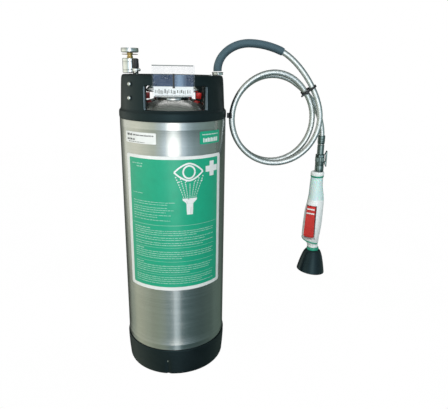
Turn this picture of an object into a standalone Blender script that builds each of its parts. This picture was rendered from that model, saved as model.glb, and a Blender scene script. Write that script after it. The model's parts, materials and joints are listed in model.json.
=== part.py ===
"""Portable pressurised eyewash station: a 19 litre stainless steel tank with a
rubber base boot and a rubber handle ring, a bail-locked lid, a charging valve
with a pressure gauge, a coiled braided hose and a squeeze-lever drench hand piece.

Metres, +Z up. The origin is the centre of the base boot's flat underside.
The safety label faces -Y and the hose hangs on the +X side.
Azimuths are measured from -Y and grow towards +X.
"""
import math
from math import cos, pi, radians, sin

import bmesh
import bpy
from mathutils import Matrix, Vector

for old_object in list(bpy.data.objects):
    bpy.data.objects.remove(old_object, do_unlink=True)
for old_mesh in list(bpy.data.meshes):
    bpy.data.meshes.remove(old_mesh)
for old_material in list(bpy.data.materials):
    bpy.data.materials.remove(old_material)

# ---------------------------------------------------------------- main dimensions
GAP = 0.0004              # clearance between neighbouring pieces
SIDES = 40                # facets round the tank
TANK_R = 0.108            # outside radius of the steel tank
TANK_H = 0.628            # floor to the top of the handle ring
SHELL_T = 0.0012          # sheet thickness of the tank
FLOOR_Z = 0.014           # underside of the tank above the floor
FOOT_R = 0.024            # bottom corner radius of the tank
SHOULDER_Z = 0.540        # where the tank's shoulder starts
SHOULDER_R = 0.020        # shoulder corner radius
CROWN_Z = 0.5835          # top of the crown on the axis
OPEN_X, OPEN_Y = 0.0405, 0.0475       # half axes of the oval lid opening
OVAL = (OPEN_X / OPEN_Y, 1.0)         # squeezes a round piece to the opening's shape
POST_X = 0.072            # posts stand this far from the axis
LIP_R = 0.1097            # handle ring radius at its lip
BOLT_DIR = Vector((sin(radians(-50.7)), -cos(radians(-50.7)), 0))
BOLT_ZS = (0.6107, 0.5853)            # upper and lower bracket bolt
BOLT_HOLE_R = 0.0029

X_AXIS = (1, 0, 0)
# Frames for prisms: the outline's local x, y and the depth z become world ...
YZ_PLANE = Matrix(((0, 0, 1, 0), (1, 0, 0, 0), (0, 1, 0, 0), (0, 0, 0, 1)))   # ... y, z, x
XZ_PLANE = Matrix(((1, 0, 0, 0), (0, 0, 1, 0), (0, 1, 0, 0), (0, 0, 0, 1)))   # ... x, z, y


# ---------------------------------------------------------------- materials
def material(name, color, metallic, roughness, alpha=1.0):
    made = bpy.data.materials.new(name)
    made.use_nodes = True
    inputs = made.node_tree.nodes["Principled BSDF"].inputs
    inputs["Base Color"].default_value = (*color, 1.0)
    inputs["Metallic"].default_value = metallic
    inputs["Roughness"].default_value = roughness
    inputs["Alpha"].default_value = alpha
    return made


STEEL = material("tank_steel", color=(0.60, 0.61, 0.60), metallic=1.0, roughness=0.28)
RUBBER = material("black_rubber", color=(0.02, 0.02, 0.022), metallic=0.0, roughness=0.55)
CHROME = material("chrome", color=(0.80, 0.80, 0.80), metallic=1.0, roughness=0.10)
BRASS = material("brass", color=(0.60, 0.42, 0.16), metallic=1.0, roughness=0.28)
GREEN = material("label_green", color=(0.02, 0.30, 0.13), metallic=0.0, roughness=0.40)
WHITE = material("white_plastic", color=(0.80, 0.82, 0.82), metallic=0.0, roughness=0.40)
RED = material("red_plastic", color=(0.55, 0.02, 0.02), metallic=0.0, roughness=0.40)
BLACK = material("black_plastic", color=(0.015, 0.015, 0.017), metallic=0.0, roughness=0.40)
CLEAR = material("clear_plastic", color=(0.80, 0.88, 0.95), metallic=0.0, roughness=0.08,
                 alpha=0.35)
BRAID = material("braided_steel", color=(0.42, 0.44, 0.43), metallic=1.0, roughness=0.35)
CARD = material("card", color=(0.55, 0.68, 0.86), metallic=0.0, roughness=0.60)


# ---------------------------------------------------------------- objects and cuts
def face_outwards(solid):
    bmesh.ops.recalc_face_normals(solid, faces=solid.faces)
    if solid.calc_volume(signed=True) < 0:
        bmesh.ops.reverse_faces(solid, faces=solid.faces)


def finish(name, solid, mat, origin=(0.0, 0.0, 0.0), smooth=True):
    """Turn a bmesh in world coordinates into an object whose origin is given."""
    bmesh.ops.remove_doubles(solid, verts=solid.verts, dist=1e-7)
    face_outwards(solid)
    bmesh.ops.translate(solid, verts=solid.verts, vec=-Vector(origin))
    mesh = bpy.data.meshes.new(name)
    solid.to_mesh(mesh)
    solid.free()
    if smooth:
        mesh.shade_smooth()
        mesh.set_sharp_from_angle(angle=radians(40.0))
    mesh.materials.append(mat)
    obj = bpy.data.objects.new(name, mesh)
    obj.location = origin
    bpy.context.scene.collection.objects.link(obj)
    return obj


def cut(obj, *cutters):
    """Boolean away each cutter (a bmesh in world coordinates)."""
    for solid in cutters:
        face_outwards(solid)
        mesh = bpy.data.meshes.new("cutter")
        solid.to_mesh(mesh)
        solid.free()
        tool = bpy.data.objects.new("cutter_" + obj.name, mesh)
        bpy.context.scene.collection.objects.link(tool)
        tool.hide_render = True
        tool.display_type = "WIRE"
        modifier = obj.modifiers.new("cut", "BOOLEAN")
        modifier.operation = "DIFFERENCE"
        modifier.solver = "EXACT"
        modifier.object = tool


# ---------------------------------------------------------------- placing and curves
def at(x, y, z=0.0):
    return Matrix.Translation((x, y, z))


def along(origin, direction):
    """Matrix whose local +Z runs along a horizontal `direction` from `origin`."""
    z_axis = Vector(direction).normalized()
    x_axis = Vector((0, 0, 1)).cross(z_axis).normalized()
    frame = Matrix((x_axis, z_axis.cross(x_axis), z_axis)).transposed().to_4x4()
    frame.translation = Vector(origin)
    return frame


def full_turn(count):
    return [2 * pi * k / count for k in range(count)]


def arc(centre_x, centre_y, radius, start, end, steps):
    """Points on a circle from `start` to `end` degrees."""
    angles = [radians(start + (end - start) * i / steps) for i in range(steps + 1)]
    return [(centre_x + radius * cos(a), centre_y + radius * sin(a)) for a in angles]


def bezier(p0, p1, p2, p3, steps):
    points = []
    for i in range(steps + 1):
        t = i / steps
        u = 1 - t
        points.append(tuple(u ** 3 * a + 3 * u * u * t * b + 3 * u * t * t * c + t ** 3 * d
                            for a, b, c, d in zip(p0, p1, p2, p3)))
    return points


# ---------------------------------------------------------------- solids
def turned(profile, steps, about=None, scale=(1.0, 1.0)):
    """Spin an (r, z) profile round +Z, then place it with the matrix `about`.
    A profile that starts and ends on the axis stays open; any other closes."""
    solid = bmesh.new()
    verts = [solid.verts.new((r, 0.0, z)) for r, z in profile]
    edges = [solid.edges.new(pair) for pair in zip(verts, verts[1:])]
    if profile[0][0] > 1e-9 or profile[-1][0] > 1e-9:
        edges.append(solid.edges.new((verts[-1], verts[0])))
    bmesh.ops.spin(solid, geom=verts + edges, cent=(0, 0, 0), axis=(0, 0, 1),
                   dvec=(0, 0, 0), angle=2 * pi, steps=steps, use_merge=True)
    bmesh.ops.remove_doubles(solid, verts=solid.verts, dist=1e-6)
    bmesh.ops.scale(solid, vec=(*scale, 1.0), verts=solid.verts)
    if about is not None:
        bmesh.ops.transform(solid, matrix=about, verts=solid.verts)
    return solid


def tube(r_in, r_out, z0, z1, steps, about=None, scale=(1.0, 1.0)):
    return turned([(r_in, z0), (r_out, z0), (r_out, z1), (r_in, z1)], steps, about, scale)


def rod(radius, z0, z1, steps, about=None, scale=(1.0, 1.0)):
    return tube(0.0, radius, z0, z1, steps, about, scale)


def torus(major, minor, major_steps, minor_steps, about, scale=(1.0, 1.0)):
    profile = [(major + minor * cos(w), minor * sin(w)) for w in full_turn(minor_steps)]
    return turned(profile, major_steps, about, scale)


def bridge(solid, rings):
    """Join each ring of vertices to the next with quads."""
    for ring0, ring1 in zip(rings, rings[1:]):
        for k in range(len(ring0)):
            j = (k + 1) % len(ring0)
            solid.faces.new((ring0[k], ring0[j], ring1[j], ring1[k]))


def add_rings(solid, point_rings):
    return [[solid.verts.new(point) for point in ring] for ring in point_rings]


def skinned(point_rings):
    """Closed solid through rings of points, capped at both ends."""
    solid = bmesh.new()
    rings = add_rings(solid, point_rings)
    bridge(solid, rings)
    solid.faces.new(list(reversed(rings[0])))
    solid.faces.new(rings[-1])
    return solid


def path_rings(path, radii, count):
    """Circles of points along a path, with parallel transported sections."""
    path = [Vector(p) for p in path]
    rings = []
    side = (path[1] - path[0]).normalized().cross(Vector((0, 1, 0))).normalized()
    for i, centre in enumerate(path):
        before = path[max(i - 1, 0)]
        after = path[min(i + 1, len(path) - 1)]
        tangent = (after - before).normalized()
        side = (side - tangent * side.dot(tangent)).normalized()
        other = tangent.cross(side)
        rings.append([centre + side * cos(w) * radii[i] + other * sin(w) * radii[i]
                      for w in full_turn(count)])
    return rings


def swept(path, radius, count):
    """Solid round bar of one radius along a path."""
    return skinned(path_rings(path, [radius] * len(path), count))


def swept_pipe(path, r_out, r_in, count):
    """Hollow pipe along a path, open at both ends."""
    solid = bmesh.new()
    outer = add_rings(solid, path_rings(path, [r_out] * len(path), count))
    inner = add_rings(solid, path_rings(path, [r_in] * len(path), count))
    spans = list(zip(outer, inner))
    for (out0, in0), (out1, in1) in zip(spans, spans[1:]):
        for k in range(count):
            j = (k + 1) % count
            solid.faces.new((out0[k], out0[j], out1[j], out1[k]))
            solid.faces.new((in0[j], in0[k], in1[k], in1[j]))
    for (out, ins), flip in ((spans[0], False), (spans[-1], True)):
        for k in range(count):
            j = (k + 1) % count
            corners = (out[k], ins[k], ins[j], out[j])
            solid.faces.new(tuple(reversed(corners)) if flip else corners)
    return solid


def box(x0, x1, y0, y1, z0, z1):
    solid = bmesh.new()
    bmesh.ops.create_cube(solid, size=1.0)
    bmesh.ops.scale(solid, vec=(x1 - x0, y1 - y0, z1 - z0), verts=solid.verts)
    centre = ((x0 + x1) / 2, (y0 + y1) / 2, (z0 + z1) / 2)
    bmesh.ops.translate(solid, vec=centre, verts=solid.verts)
    return solid


def prism(points, depth0, depth1, about):
    """Polygon in the local XY plane, extruded along local Z, then placed."""
    solid = bmesh.new()
    face = solid.faces.new([solid.verts.new((x, y, depth0)) for x, y in points])
    extruded = bmesh.ops.extrude_face_region(solid, geom=[face])["geom"]
    top = [item for item in extruded if isinstance(item, bmesh.types.BMVert)]
    bmesh.ops.translate(solid, vec=(0, 0, depth1 - depth0), verts=top)
    bmesh.ops.transform(solid, matrix=about, verts=solid.verts)
    return solid


def facet_radius(radius, azimuth):
    """Distance from the axis to a flat facet of a SIDES-gon in this direction."""
    step = 2 * pi / SIDES
    return radius * cos(step / 2) / cos((azimuth % step) - step / 2)


def faceted_sheet(azimuths, r_in, r_out, z0, z1):
    """Sheet following the tank's facets through the given directions (radians)."""
    sections = []
    for azimuth in azimuths:
        near, far = facet_radius(r_in, azimuth), facet_radius(r_out, azimuth)
        sections.append([(r * sin(azimuth), -r * cos(azimuth), z)
                         for r, z in ((near, z0), (far, z0), (far, z1), (near, z1))])
    return skinned(sections)


# ---------------------------------------------------------------- tank
# (r, z) on the outside of the crown, from the shoulder to the axis
CROWN = [(0.078, 0.5686), (0.062, 0.5757), (0.0475, 0.5798), (0.0, CROWN_Z)]


def foot_arc(radius):
    return arc(TANK_R - FOOT_R, FLOOR_Z + FOOT_R, radius, -90, 0, 3)


def shoulder_arc(radius, start, end, steps):
    return arc(TANK_R - SHOULDER_R, SHOULDER_Z, radius, start, end, steps)


def shell_profile(inset):
    """Tank profile moved inwards, from the bottom centre to the top centre."""
    return ([(0.0, FLOOR_Z + inset)] + foot_arc(FOOT_R - inset)
            + shoulder_arc(SHOULDER_R - inset, 0, 60, 2) + [(r, z - inset) for r, z in CROWN])


def tank_shell():
    """Solid tank, hollowed, then opened for the lid and the two posts."""
    shell = finish("tank_shell", turned(shell_profile(0.0), SIDES), STEEL)
    cut(shell, turned(shell_profile(SHELL_T), SIDES), rod(OPEN_Y, 0.50, 0.60, 28, scale=OVAL))
    for side in (-1, 1):
        cut(shell, rod(0.0085, 0.54, 0.60, 16, at(side * POST_X, 0)))


# ---------------------------------------------------------------- base boot
BOOT_Z = 0.061            # top edge of the base boot
# (r, z) from the centre of the underside up to the top edge
BOOT_OUTSIDE = [(0.0, 0.0), (0.1032, 0.0), (0.1066, 0.0030), (0.1090, 0.0300),
                (0.1100, 0.0480), (0.1100, 0.0595), (0.1092, BOOT_Z), (TANK_R + GAP, BOOT_Z)]
BOOT_HOLE_R, BOOT_HOLE_CIRCLE = 0.006, 0.060


def base_boot():
    inside = list(reversed(foot_arc(FOOT_R + GAP))) + [(0.0, FLOOR_Z - GAP)]
    boot = finish("base_boot", turned(BOOT_OUTSIDE + inside, SIDES), RUBBER)
    for k in range(4):
        azimuth = radians(45 + 90 * k)
        place = at(BOOT_HOLE_CIRCLE * cos(azimuth), BOOT_HOLE_CIRCLE * sin(azimuth))
        cut(boot, rod(BOOT_HOLE_R, -0.01, 0.02, 12, place))


# ---------------------------------------------------------------- handle ring
LIP_Z = 0.544             # bottom edge of the handle ring
# (r, z) up the outside, over the top and down the inside to the tank's shoulder
RING_PROFILE = [
    (0.1084, LIP_Z), (0.1092, LIP_Z), (LIP_R, 0.5460), (LIP_R, 0.5580), (0.1086, 0.5605),
    (0.1062, 0.5620), (0.1056, 0.5642), (0.1026, 0.6230), (0.1004, 0.6267), (0.0974, TANK_H),
    (0.0944, 0.6270), (0.0921, 0.6235), (0.0910, 0.5662), (0.0910, 0.5624)]
HANDHOLD_TURN = Matrix.Rotation(radians(3.5), 4, "Z")   # handholds' line, turned from -Y
HANDHOLD_W, HANDHOLD_Z0, HANDHOLD_Z1 = 0.1062, 0.5646, 0.6087
HANDHOLD_CORNER = 0.006
HANDHOLD_W_OUT = 0.1190   # width at the outer end of the flare, FLARE_FACE_Y
FLARE_Y0, FLARE_FACE_Y, FLARE_Y1 = 0.0815, 0.0880, 0.1150   # start, ring face, cutter's end


def handhold_cutter():
    """Rounded bar through both handholds."""
    bar = box(-HANDHOLD_W / 2, HANDHOLD_W / 2, -0.13, 0.13, HANDHOLD_Z0, HANDHOLD_Z1)
    long_edges = [e for e in bar.edges if abs(e.verts[0].co.y - e.verts[1].co.y) > 0.1]
    bmesh.ops.bevel(bar, geom=long_edges, offset=HANDHOLD_CORNER, segments=3,
                    affect="EDGES", profile=0.5)
    bmesh.ops.transform(bar, matrix=HANDHOLD_TURN, verts=bar.verts)
    return bar


def flare_cutter(side):
    """Wedge that widens one handhold towards the ring's outer face."""
    slope = (HANDHOLD_W_OUT - HANDHOLD_W) / (FLARE_FACE_Y - FLARE_Y0)
    z0, z1 = HANDHOLD_Z0 + HANDHOLD_CORNER, HANDHOLD_Z1 - HANDHOLD_CORNER
    rings = []
    for y in (FLARE_Y0, FLARE_Y1):
        half = (HANDHOLD_W + slope * (y - FLARE_Y0)) / 2
        rings.append([(x, side * y, z)
                      for x, z in ((-half, z0), (half, z0), (half, z1), (-half, z1))])
    wedge = skinned(rings)
    bmesh.ops.transform(wedge, matrix=HANDHOLD_TURN, verts=wedge.verts)
    return wedge


def bolt_line(z):
    return along((0, 0, z), BOLT_DIR)


def handle_ring():
    profile = RING_PROFILE + shoulder_arc(SHOULDER_R + GAP, 60, 12, 3)
    ring = finish("handle_ring", turned(profile, SIDES), RUBBER)
    cut(ring, handhold_cutter(), flare_cutter(-1), flare_cutter(1))
    for z in BOLT_ZS:
        cut(ring, rod(BOLT_HOLE_R, 0.08, 0.12, 12, bolt_line(z)))


# ---------------------------------------------------------------- labels
LABEL_LIFT, LABEL_T = 0.0003, 0.0005      # clearance off the tank, thickness
# name, first and last azimuth in degrees, bottom, top, material
LABELS = [("safety_label", -57.0, 57.0, 0.2035, 0.4813, GREEN),
          ("data_label", -57.0, -17.5, 0.5030, 0.5240, WHITE),
          ("contents_label", 27.0, 55.0, 0.5025, 0.5265, GREEN)]


def labels():
    step = 2 * pi / SIDES
    r_in = TANK_R + LABEL_LIFT
    for name, start, end, z0, z1, mat in LABELS:
        start, end = radians(start), radians(end)
        corners = range(math.floor(start / step) + 1, math.ceil(end / step))
        azimuths = [start] + [k * step for k in corners] + [end]
        finish(name, faceted_sheet(azimuths, r_in, r_in + LABEL_T, z0, z1), mat)


# ---------------------------------------------------------------- posts and couplings
COUPLING_TOP = 0.6175
ELBOW_Z = COUPLING_TOP + GAP
OUTLET_X = 0.0905         # axis of the hose ferrule over the rim
TUBE_R_IN, TUBE_R_OUT, TUBE_TOP = 0.0030, 0.0040, 0.5790
# (r, z) profiles
POST = [(0.0045, 0.5640), (0.0080, 0.5640), (0.0080, 0.5768), (0.0108, 0.5768),
        (0.0108, 0.5846), (0.0092, 0.5854), (0.0092, 0.5920), (0.0085, 0.5928),
        (0.0085, 0.5945), (0.0092, 0.5953), (0.0092, 0.5975), (0.0080, 0.5990),
        (0.0045, 0.5990)]
COUPLING = [(0.0, COUPLING_TOP), (0.0070, COUPLING_TOP), (0.0100, 0.6150), (0.0126, 0.6120),
            (0.0126, 0.5970), (0.0136, 0.5960), (0.0136, 0.5886), (0.0132, 0.5868),
            (0.0098, 0.5868), (0.0098, 0.6010), (0.0, 0.6010)]
HOSE_FERRULE = [(0.0, 0.6284), (0.0118, 0.6284), (0.0118, 0.6330), (0.0106, 0.6344),
                (0.0, 0.6344)]
# (distance from the axis, z) along an elbow, before its height is scaled
ELBOW_START = [(POST_X, ELBOW_Z), (0.0720, 0.6205), (0.0742, 0.6243), (0.0782, 0.6272)]
GAS_ELBOW = ELBOW_START + [(0.0802, 0.6285), (0.0808, 0.6296), (0.0808, 0.6316)]
OUTLET_ELBOW = ELBOW_START + [(0.0800, 0.6284), (0.0800, 0.6299)]


def elbow(name, points, side, height_scale, radius, mat):
    path = [(side * x, 0, ELBOW_Z + (z - ELBOW_Z) * height_scale) for x, z in points]
    finish(name, swept(path, radius, 12), mat)


def posts_and_couplings():
    gas, liquid = at(-POST_X, 0), at(POST_X, 0)
    finish("gas_post", turned(POST, 12, gas), STEEL)
    finish("liquid_post", turned(POST, 12, liquid), STEEL)
    finish("gas_tube", tube(TUBE_R_IN, TUBE_R_OUT, 0.5200, TUBE_TOP, 10, gas), STEEL)
    finish("dip_tube", tube(TUBE_R_IN, TUBE_R_OUT, 0.0220, TUBE_TOP, 10, liquid), STEEL)
    finish("gas_coupling", turned(COUPLING, 14, gas), BLACK)
    finish("outlet_coupling", turned(COUPLING, 14, liquid), BLACK)
    elbow("gas_elbow", GAS_ELBOW, side=-1, height_scale=0.78, radius=0.0048, mat=BLACK)
    elbow("outlet_elbow", OUTLET_ELBOW, side=1, height_scale=0.84, radius=0.0044, mat=CHROME)
    finish("hose_ferrule", turned(HOSE_FERRULE, 20, at(OUTLET_X, 0)), CHROME)


# ---------------------------------------------------------------- charging valve bracket
BRACKET_R_IN, BRACKET_R_OUT = 0.0881, 0.0901
BRACKET_START, BRACKET_SPAN, BRACKET_STEPS = -84.0, 40.0, 9     # degrees, degrees, count


def valve_bracket():
    azimuths = [radians(BRACKET_START + i * (BRACKET_SPAN / BRACKET_STEPS))
                for i in range(BRACKET_STEPS + 1)]
    sheet = faceted_sheet(azimuths, BRACKET_R_IN, BRACKET_R_OUT, 0.5790, 0.6180)
    bracket = finish("valve_bracket", sheet, STEEL)
    for z in BOLT_ZS:
        cut(bracket, rod(BOLT_HOLE_R, 0.07, 0.10, 12, bolt_line(z)))


def bracket_bolts():
    """Each bolt's head sits outside the ring wall, its nut inside the bracket."""
    for tag, z, wall in zip(("upper", "lower"), BOLT_ZS, (0.1035, 0.1050)):
        bolt = [(0.0, 0.0825), (0.0024, 0.0825), (0.0024, wall), (0.0043, wall),
                (0.0040, wall + 0.0018), (0.0027, wall + 0.0034), (0.0, wall + 0.0040)]
        finish("bracket_bolt_" + tag, turned(bolt, 14, bolt_line(z)), CHROME)
        nut = tube(0.0028, 0.0050, 0.0843, 0.0875, 6, bolt_line(z))
        finish("bracket_nut_" + tag, nut, CHROME)


# ---------------------------------------------------------------- charging valve and gauge
VALVE_X = -0.083          # axis of the charging valve and gauge
VALVE_R = 0.0152
# (r, z) profiles
VALVE_BODY = [(0.0, 0.6300), (0.0145, 0.6300), (VALVE_R, 0.6307), (VALVE_R, 0.6568),
              (0.0145, 0.6577), (0.0, 0.6577)]
GAUGE_STEM = [(0.0, 0.6581), (0.0050, 0.6581), (0.0050, 0.6644), (0.0155, 0.6646),
              (0.0155, 0.6655), (0.0050, 0.6657), (0.0050, 0.6680), (0.0, 0.6680)]
GAUGE_CASE = [(0.0, 0.6684), (0.0160, 0.6684), (0.0170, 0.6692), (0.0170, 0.6749),
              (0.0156, 0.6749), (0.0156, 0.6701), (0.0, 0.6701)]
GAUGE_BEZEL = [(0.0146, 0.6752), (0.0170, 0.6752), (0.0170, 0.6763), (0.0162, 0.6769),
               (0.0150, 0.6769), (0.0146, 0.6765)]
GAUGE_GLASS_R = 0.0151    # radius of both the dial and the lens
# (x, y) outline, with the tip on +x
POINTER = [(-0.0050, -0.0010), (-0.0020, -0.0012), (0.0, -0.0016), (0.0060, -0.0006),
           (0.0120, 0.0), (0.0060, 0.0006), (0.0, 0.0016), (-0.0020, 0.0012),
           (-0.0050, 0.0010)]


def charging_valve_and_gauge():
    axis = at(VALVE_X, 0)
    finish("charge_valve_body", turned(VALVE_BODY, 24, axis), CHROME)
    finish("gauge_stem", turned(GAUGE_STEM, 12, axis), BRASS)
    finish("gauge_case", turned(GAUGE_CASE, 24, axis), CHROME)
    finish("gauge_dial", rod(GAUGE_GLASS_R, 0.6705, 0.6711, 24, axis), WHITE)
    pointer_frame = axis @ Matrix.Rotation(radians(225), 4, "Z")
    finish("gauge_pointer", prism(POINTER, 0.6715, 0.6720, pointer_frame), BLACK,
           origin=(VALVE_X, 0, 0.6717))
    finish("gauge_lens", rod(GAUGE_GLASS_R, 0.6731, 0.6747, 24, axis), CLEAR)
    finish("gauge_bezel", turned(GAUGE_BEZEL, 24, axis), CHROME)


# ---------------------------------------------------------------- inflation valve
INFLATION_X, INFLATION_Y = -0.0706, -0.0188
# x, y, z, radius: a bent foot, then a straight stem with a collar
INFLATION_STEM = [(-0.0716, -0.0066, 0.6218, 0.0030), (-0.0710, -0.0120, 0.6228, 0.0034),
                  (-0.0706, -0.0168, 0.6246, 0.0038)]
INFLATION_STEM += [(INFLATION_X, INFLATION_Y, z, radius) for z, radius in (
    (0.6290, 0.0044), (0.6330, 0.0044), (0.6336, 0.0062), (0.6380, 0.0062),
    (0.6386, 0.0036), (0.6420, 0.0036))]
INFLATION_CAP = [(0.0, 0.6565), (0.0050, 0.6565), (0.0056, 0.6557), (0.0056, 0.6394),
                 (0.0041, 0.6394), (0.0041, 0.6440), (0.0, 0.6440)]      # (r, z)


def inflation_valve():
    """Stem beside the charging valve, with its core pin and screw cap."""
    axis = at(INFLATION_X, INFLATION_Y)
    path = [station[:3] for station in INFLATION_STEM]
    radii = [station[3] for station in INFLATION_STEM]
    stem = finish("schrader_stem", skinned(path_rings(path, radii, 14)), CHROME)
    cut(stem, rod(0.0018, 0.6370, 0.6500, 10, axis))
    finish("schrader_pin", rod(0.0012, 0.6384, 0.6424, 8, axis), BRASS,
           origin=(INFLATION_X, INFLATION_Y, 0.6424))
    finish("schrader_cap", turned(INFLATION_CAP, 16, axis), BLACK,
           origin=(INFLATION_X, INFLATION_Y, 0.6420))


# ---------------------------------------------------------------- lid
BAIL_Z = 0.5965           # height of the bail's pivot
# (r, z) along the lid's long half axis: outside down to the flange, inside back up
LID = [(0.0, 0.5925), (0.020, 0.5920), (0.036, 0.5900), (0.0435, 0.5870), (0.0450, 0.5835),
       (0.0450, 0.5760), (0.0520, 0.5757), (0.0520, 0.5739), (0.0432, 0.5739),
       (0.0432, 0.5830), (0.0415, 0.5855), (0.035, 0.5882), (0.020, 0.5902), (0.0, 0.5907)]
EAR_X, EAR_T = 0.0300, 0.002
EAR_HALF_W, EAR_Z0, EAR_ARC_Z, EAR_ARC_H = 0.006, 0.5907, 0.5975, 0.005


def lid():
    plate = finish("lid_plate", turned(LID, 28, scale=OVAL), STEEL)
    cut(plate, rod(0.0060, 0.5635, 0.6135, 12))
    finish("lid_oring", torus(0.0492, 0.00095, 28, 5, at(0, 0, 0.5769), OVAL), RUBBER)


def lid_ears():
    """Upright tabs that the ends of the bail pass through."""
    outline = [(-EAR_HALF_W, EAR_Z0), (EAR_HALF_W, EAR_Z0), (EAR_HALF_W, EAR_ARC_Z)]
    outline += [(EAR_HALF_W * cos(radians(a)), EAR_ARC_Z + EAR_ARC_H * sin(radians(a)))
                for a in (45, 90, 135)]
    outline.append((-EAR_HALF_W, EAR_ARC_Z))
    for tag, x in (("left", -EAR_X), ("right", EAR_X)):
        tab = prism(outline, x - EAR_T / 2, x + EAR_T / 2, YZ_PLANE)
        ear = finish("lid_ear_" + tag, tab, STEEL)
        cut(ear, rod(0.0037, -0.01, 0.01, 16, along((x, 0, BAIL_Z), X_AXIS)))


# ---------------------------------------------------------------- relief valve in the lid
RELIEF_RING_Z = 0.6110    # pull ring's centre and the hole it hangs in
RELIEF_SEAT_Z = 0.5959    # top of the disc on the stem
# (r, z) profiles
RELIEF_BODY = [(0.0026, 0.5835), (0.0056, 0.5835), (0.0056, 0.5931), (0.0092, 0.5931),
               (0.0092, 0.6020), (0.0062, 0.6020), (0.0062, 0.5943), (0.0026, 0.5943)]
RELIEF_CAP = [(0.0027, 0.6024), (0.0090, 0.6024), (0.0080, 0.6047), (0.0027, 0.6050)]
RELIEF_STEM = [(0.0, 0.5855), (0.0022, 0.5855), (0.0022, 0.5947), (0.0056, 0.5947),
               (0.0056, RELIEF_SEAT_Z), (0.0021, RELIEF_SEAT_Z), (0.0021, 0.6070),
               (0.0030, 0.6083), (0.0030, 0.6135), (0.0020, 0.6145), (0.0, 0.6145)]
SPRING_R, SPRING_Z, SPRING_H = 0.0042, 0.5969, 0.0044
SPRING_TURNS, STEPS_PER_TURN = 3.5, 8


def relief_valve():
    finish("relief_body", turned(RELIEF_BODY, 12), BRASS)
    finish("relief_cap", turned(RELIEF_CAP, 12), CHROME)
    stem = finish("relief_stem", turned(RELIEF_STEM, 14), CHROME, origin=(0, 0, RELIEF_SEAT_Z))
    cut(stem, rod(0.0020, -0.01, 0.01, 12, along((0, 0, RELIEF_RING_Z), X_AXIS)))
    finish("relief_ring", torus(0.0080, 0.0008, 18, 5, at(0, 0.0080, RELIEF_RING_Z)), CHROME,
           origin=(0, 0, RELIEF_RING_Z))


def relief_spring():
    steps = int(SPRING_TURNS * STEPS_PER_TURN)
    coil = []
    for i in range(steps + 1):
        w = 2 * pi * i / STEPS_PER_TURN
        coil.append((SPRING_R * cos(w), SPRING_R * sin(w), SPRING_Z + SPRING_H * i / steps))
    finish("relief_spring", swept(coil, 0.0004, 4), STEEL)


# ---------------------------------------------------------------- bail
BAIL_X = 0.0520           # half width at the pivot
BAIL_BEND = 0.010         # distance from each corner to where its bend starts
BAIL_CORNERS = [(-0.0275, 0, BAIL_Z), (-BAIL_X, 0, BAIL_Z), (-0.0500, 0.0620, BAIL_Z + 0.004),
                (0.0500, 0.0620, BAIL_Z + 0.004), (BAIL_X, 0, BAIL_Z), (0.0275, 0, BAIL_Z)]
BAIL_FOOT_R = BAIL_Z - 0.5806         # pivot to the foot's curved underside
BAIL_FOOT_HALF_W, BAIL_FOOT_HALF_T = 0.0055, 0.0052
BAIL_FOOT_DROPS = (0.0100, 0.0036)    # lower and upper side corners below the pivot


def rounded_corner(before, corner, after, steps=3):
    before, corner, after = Vector(before), Vector(corner), Vector(after)
    start = corner + (before - corner).normalized() * BAIL_BEND
    end = corner + (after - corner).normalized() * BAIL_BEND
    points = []
    for i in range(steps + 1):
        t = i / steps
        points.append(tuple(start * (1 - t) ** 2 + corner * 2 * t * (1 - t) + end * t * t))
    return points


def bail_wire():
    wire = [BAIL_CORNERS[0]]
    for trio in zip(BAIL_CORNERS, BAIL_CORNERS[1:], BAIL_CORNERS[2:]):
        wire += rounded_corner(*trio)
    wire.append(BAIL_CORNERS[-1])
    finish("bail_wire", swept(wire, 0.0029, 8), CHROME, origin=(0, 0, BAIL_Z))


def bail_feet():
    low, high = (BAIL_Z - drop for drop in BAIL_FOOT_DROPS)
    half = BAIL_FOOT_HALF_W
    outline = [(BAIL_FOOT_R * sin(radians(a)), BAIL_Z - BAIL_FOOT_R * cos(radians(a)))
               for a in (-9, -3, 3, 9)]
    outline += [(half, low), (half, high), (-half, high), (-half, low)]
    for tag, x in (("left", -BAIL_X), ("right", BAIL_X)):
        foot = prism(outline, x - BAIL_FOOT_HALF_T, x + BAIL_FOOT_HALF_T, YZ_PLANE)
        finish("bail_foot_" + tag, foot, RED, origin=(x, 0, BAIL_Z))


# ---------------------------------------------------------------- hose
HOSE_R = 0.0061
SLEEVE_R, SLEEVE_R_IN = 0.0080, 0.0068
GRIP_X, GRIP_Y = 0.3218, 0.010              # axis of the hand piece
LOOP_A = (0.2125, 0.5432, 0.0922, 0.0930)   # centre x, z and half axes of the first turn
LOOP_B = (0.2068, 0.5414, 0.0855, 0.0884)   # of the second, tighter turn
PITCH = 0.0135                              # each turn lies this far behind the last
FRONT_Y = -0.0200
END_TURN = 665.0                            # degrees wound by the whole coil
COIL_STEPS = 62


def loop_point(degrees):
    """Point on the double coil; degrees grow clockwise seen from -Y, from +X."""
    blend = min(max((degrees - 250.0) / 80.0, 0.0), 1.0)
    blend = blend * blend * (3 - 2 * blend)
    centre_x, centre_z, half_x, half_z = (a + (b - a) * blend for a, b in zip(LOOP_A, LOOP_B))
    w = radians(degrees)
    return Vector((centre_x + half_x * cos(w), FRONT_Y + PITCH * degrees / 360.0,
                   centre_z - half_z * sin(w)))


def hose_arch():
    """Centreline from the ferrule over the sleeved arch."""
    rise = bezier((OUTLET_X, 0, 0.6358), (0.0888, 0, 0.6670), (0.1200, 0, 0.6906),
                  (0.1548, 0, 0.6906), 7)
    fall = bezier((0.1548, 0, 0.6906), (0.1780, 0, 0.6906), (0.2030, 0, 0.6850),
                  (0.2235, 0, 0.6754), 5)
    return rise + fall[1:]


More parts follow.
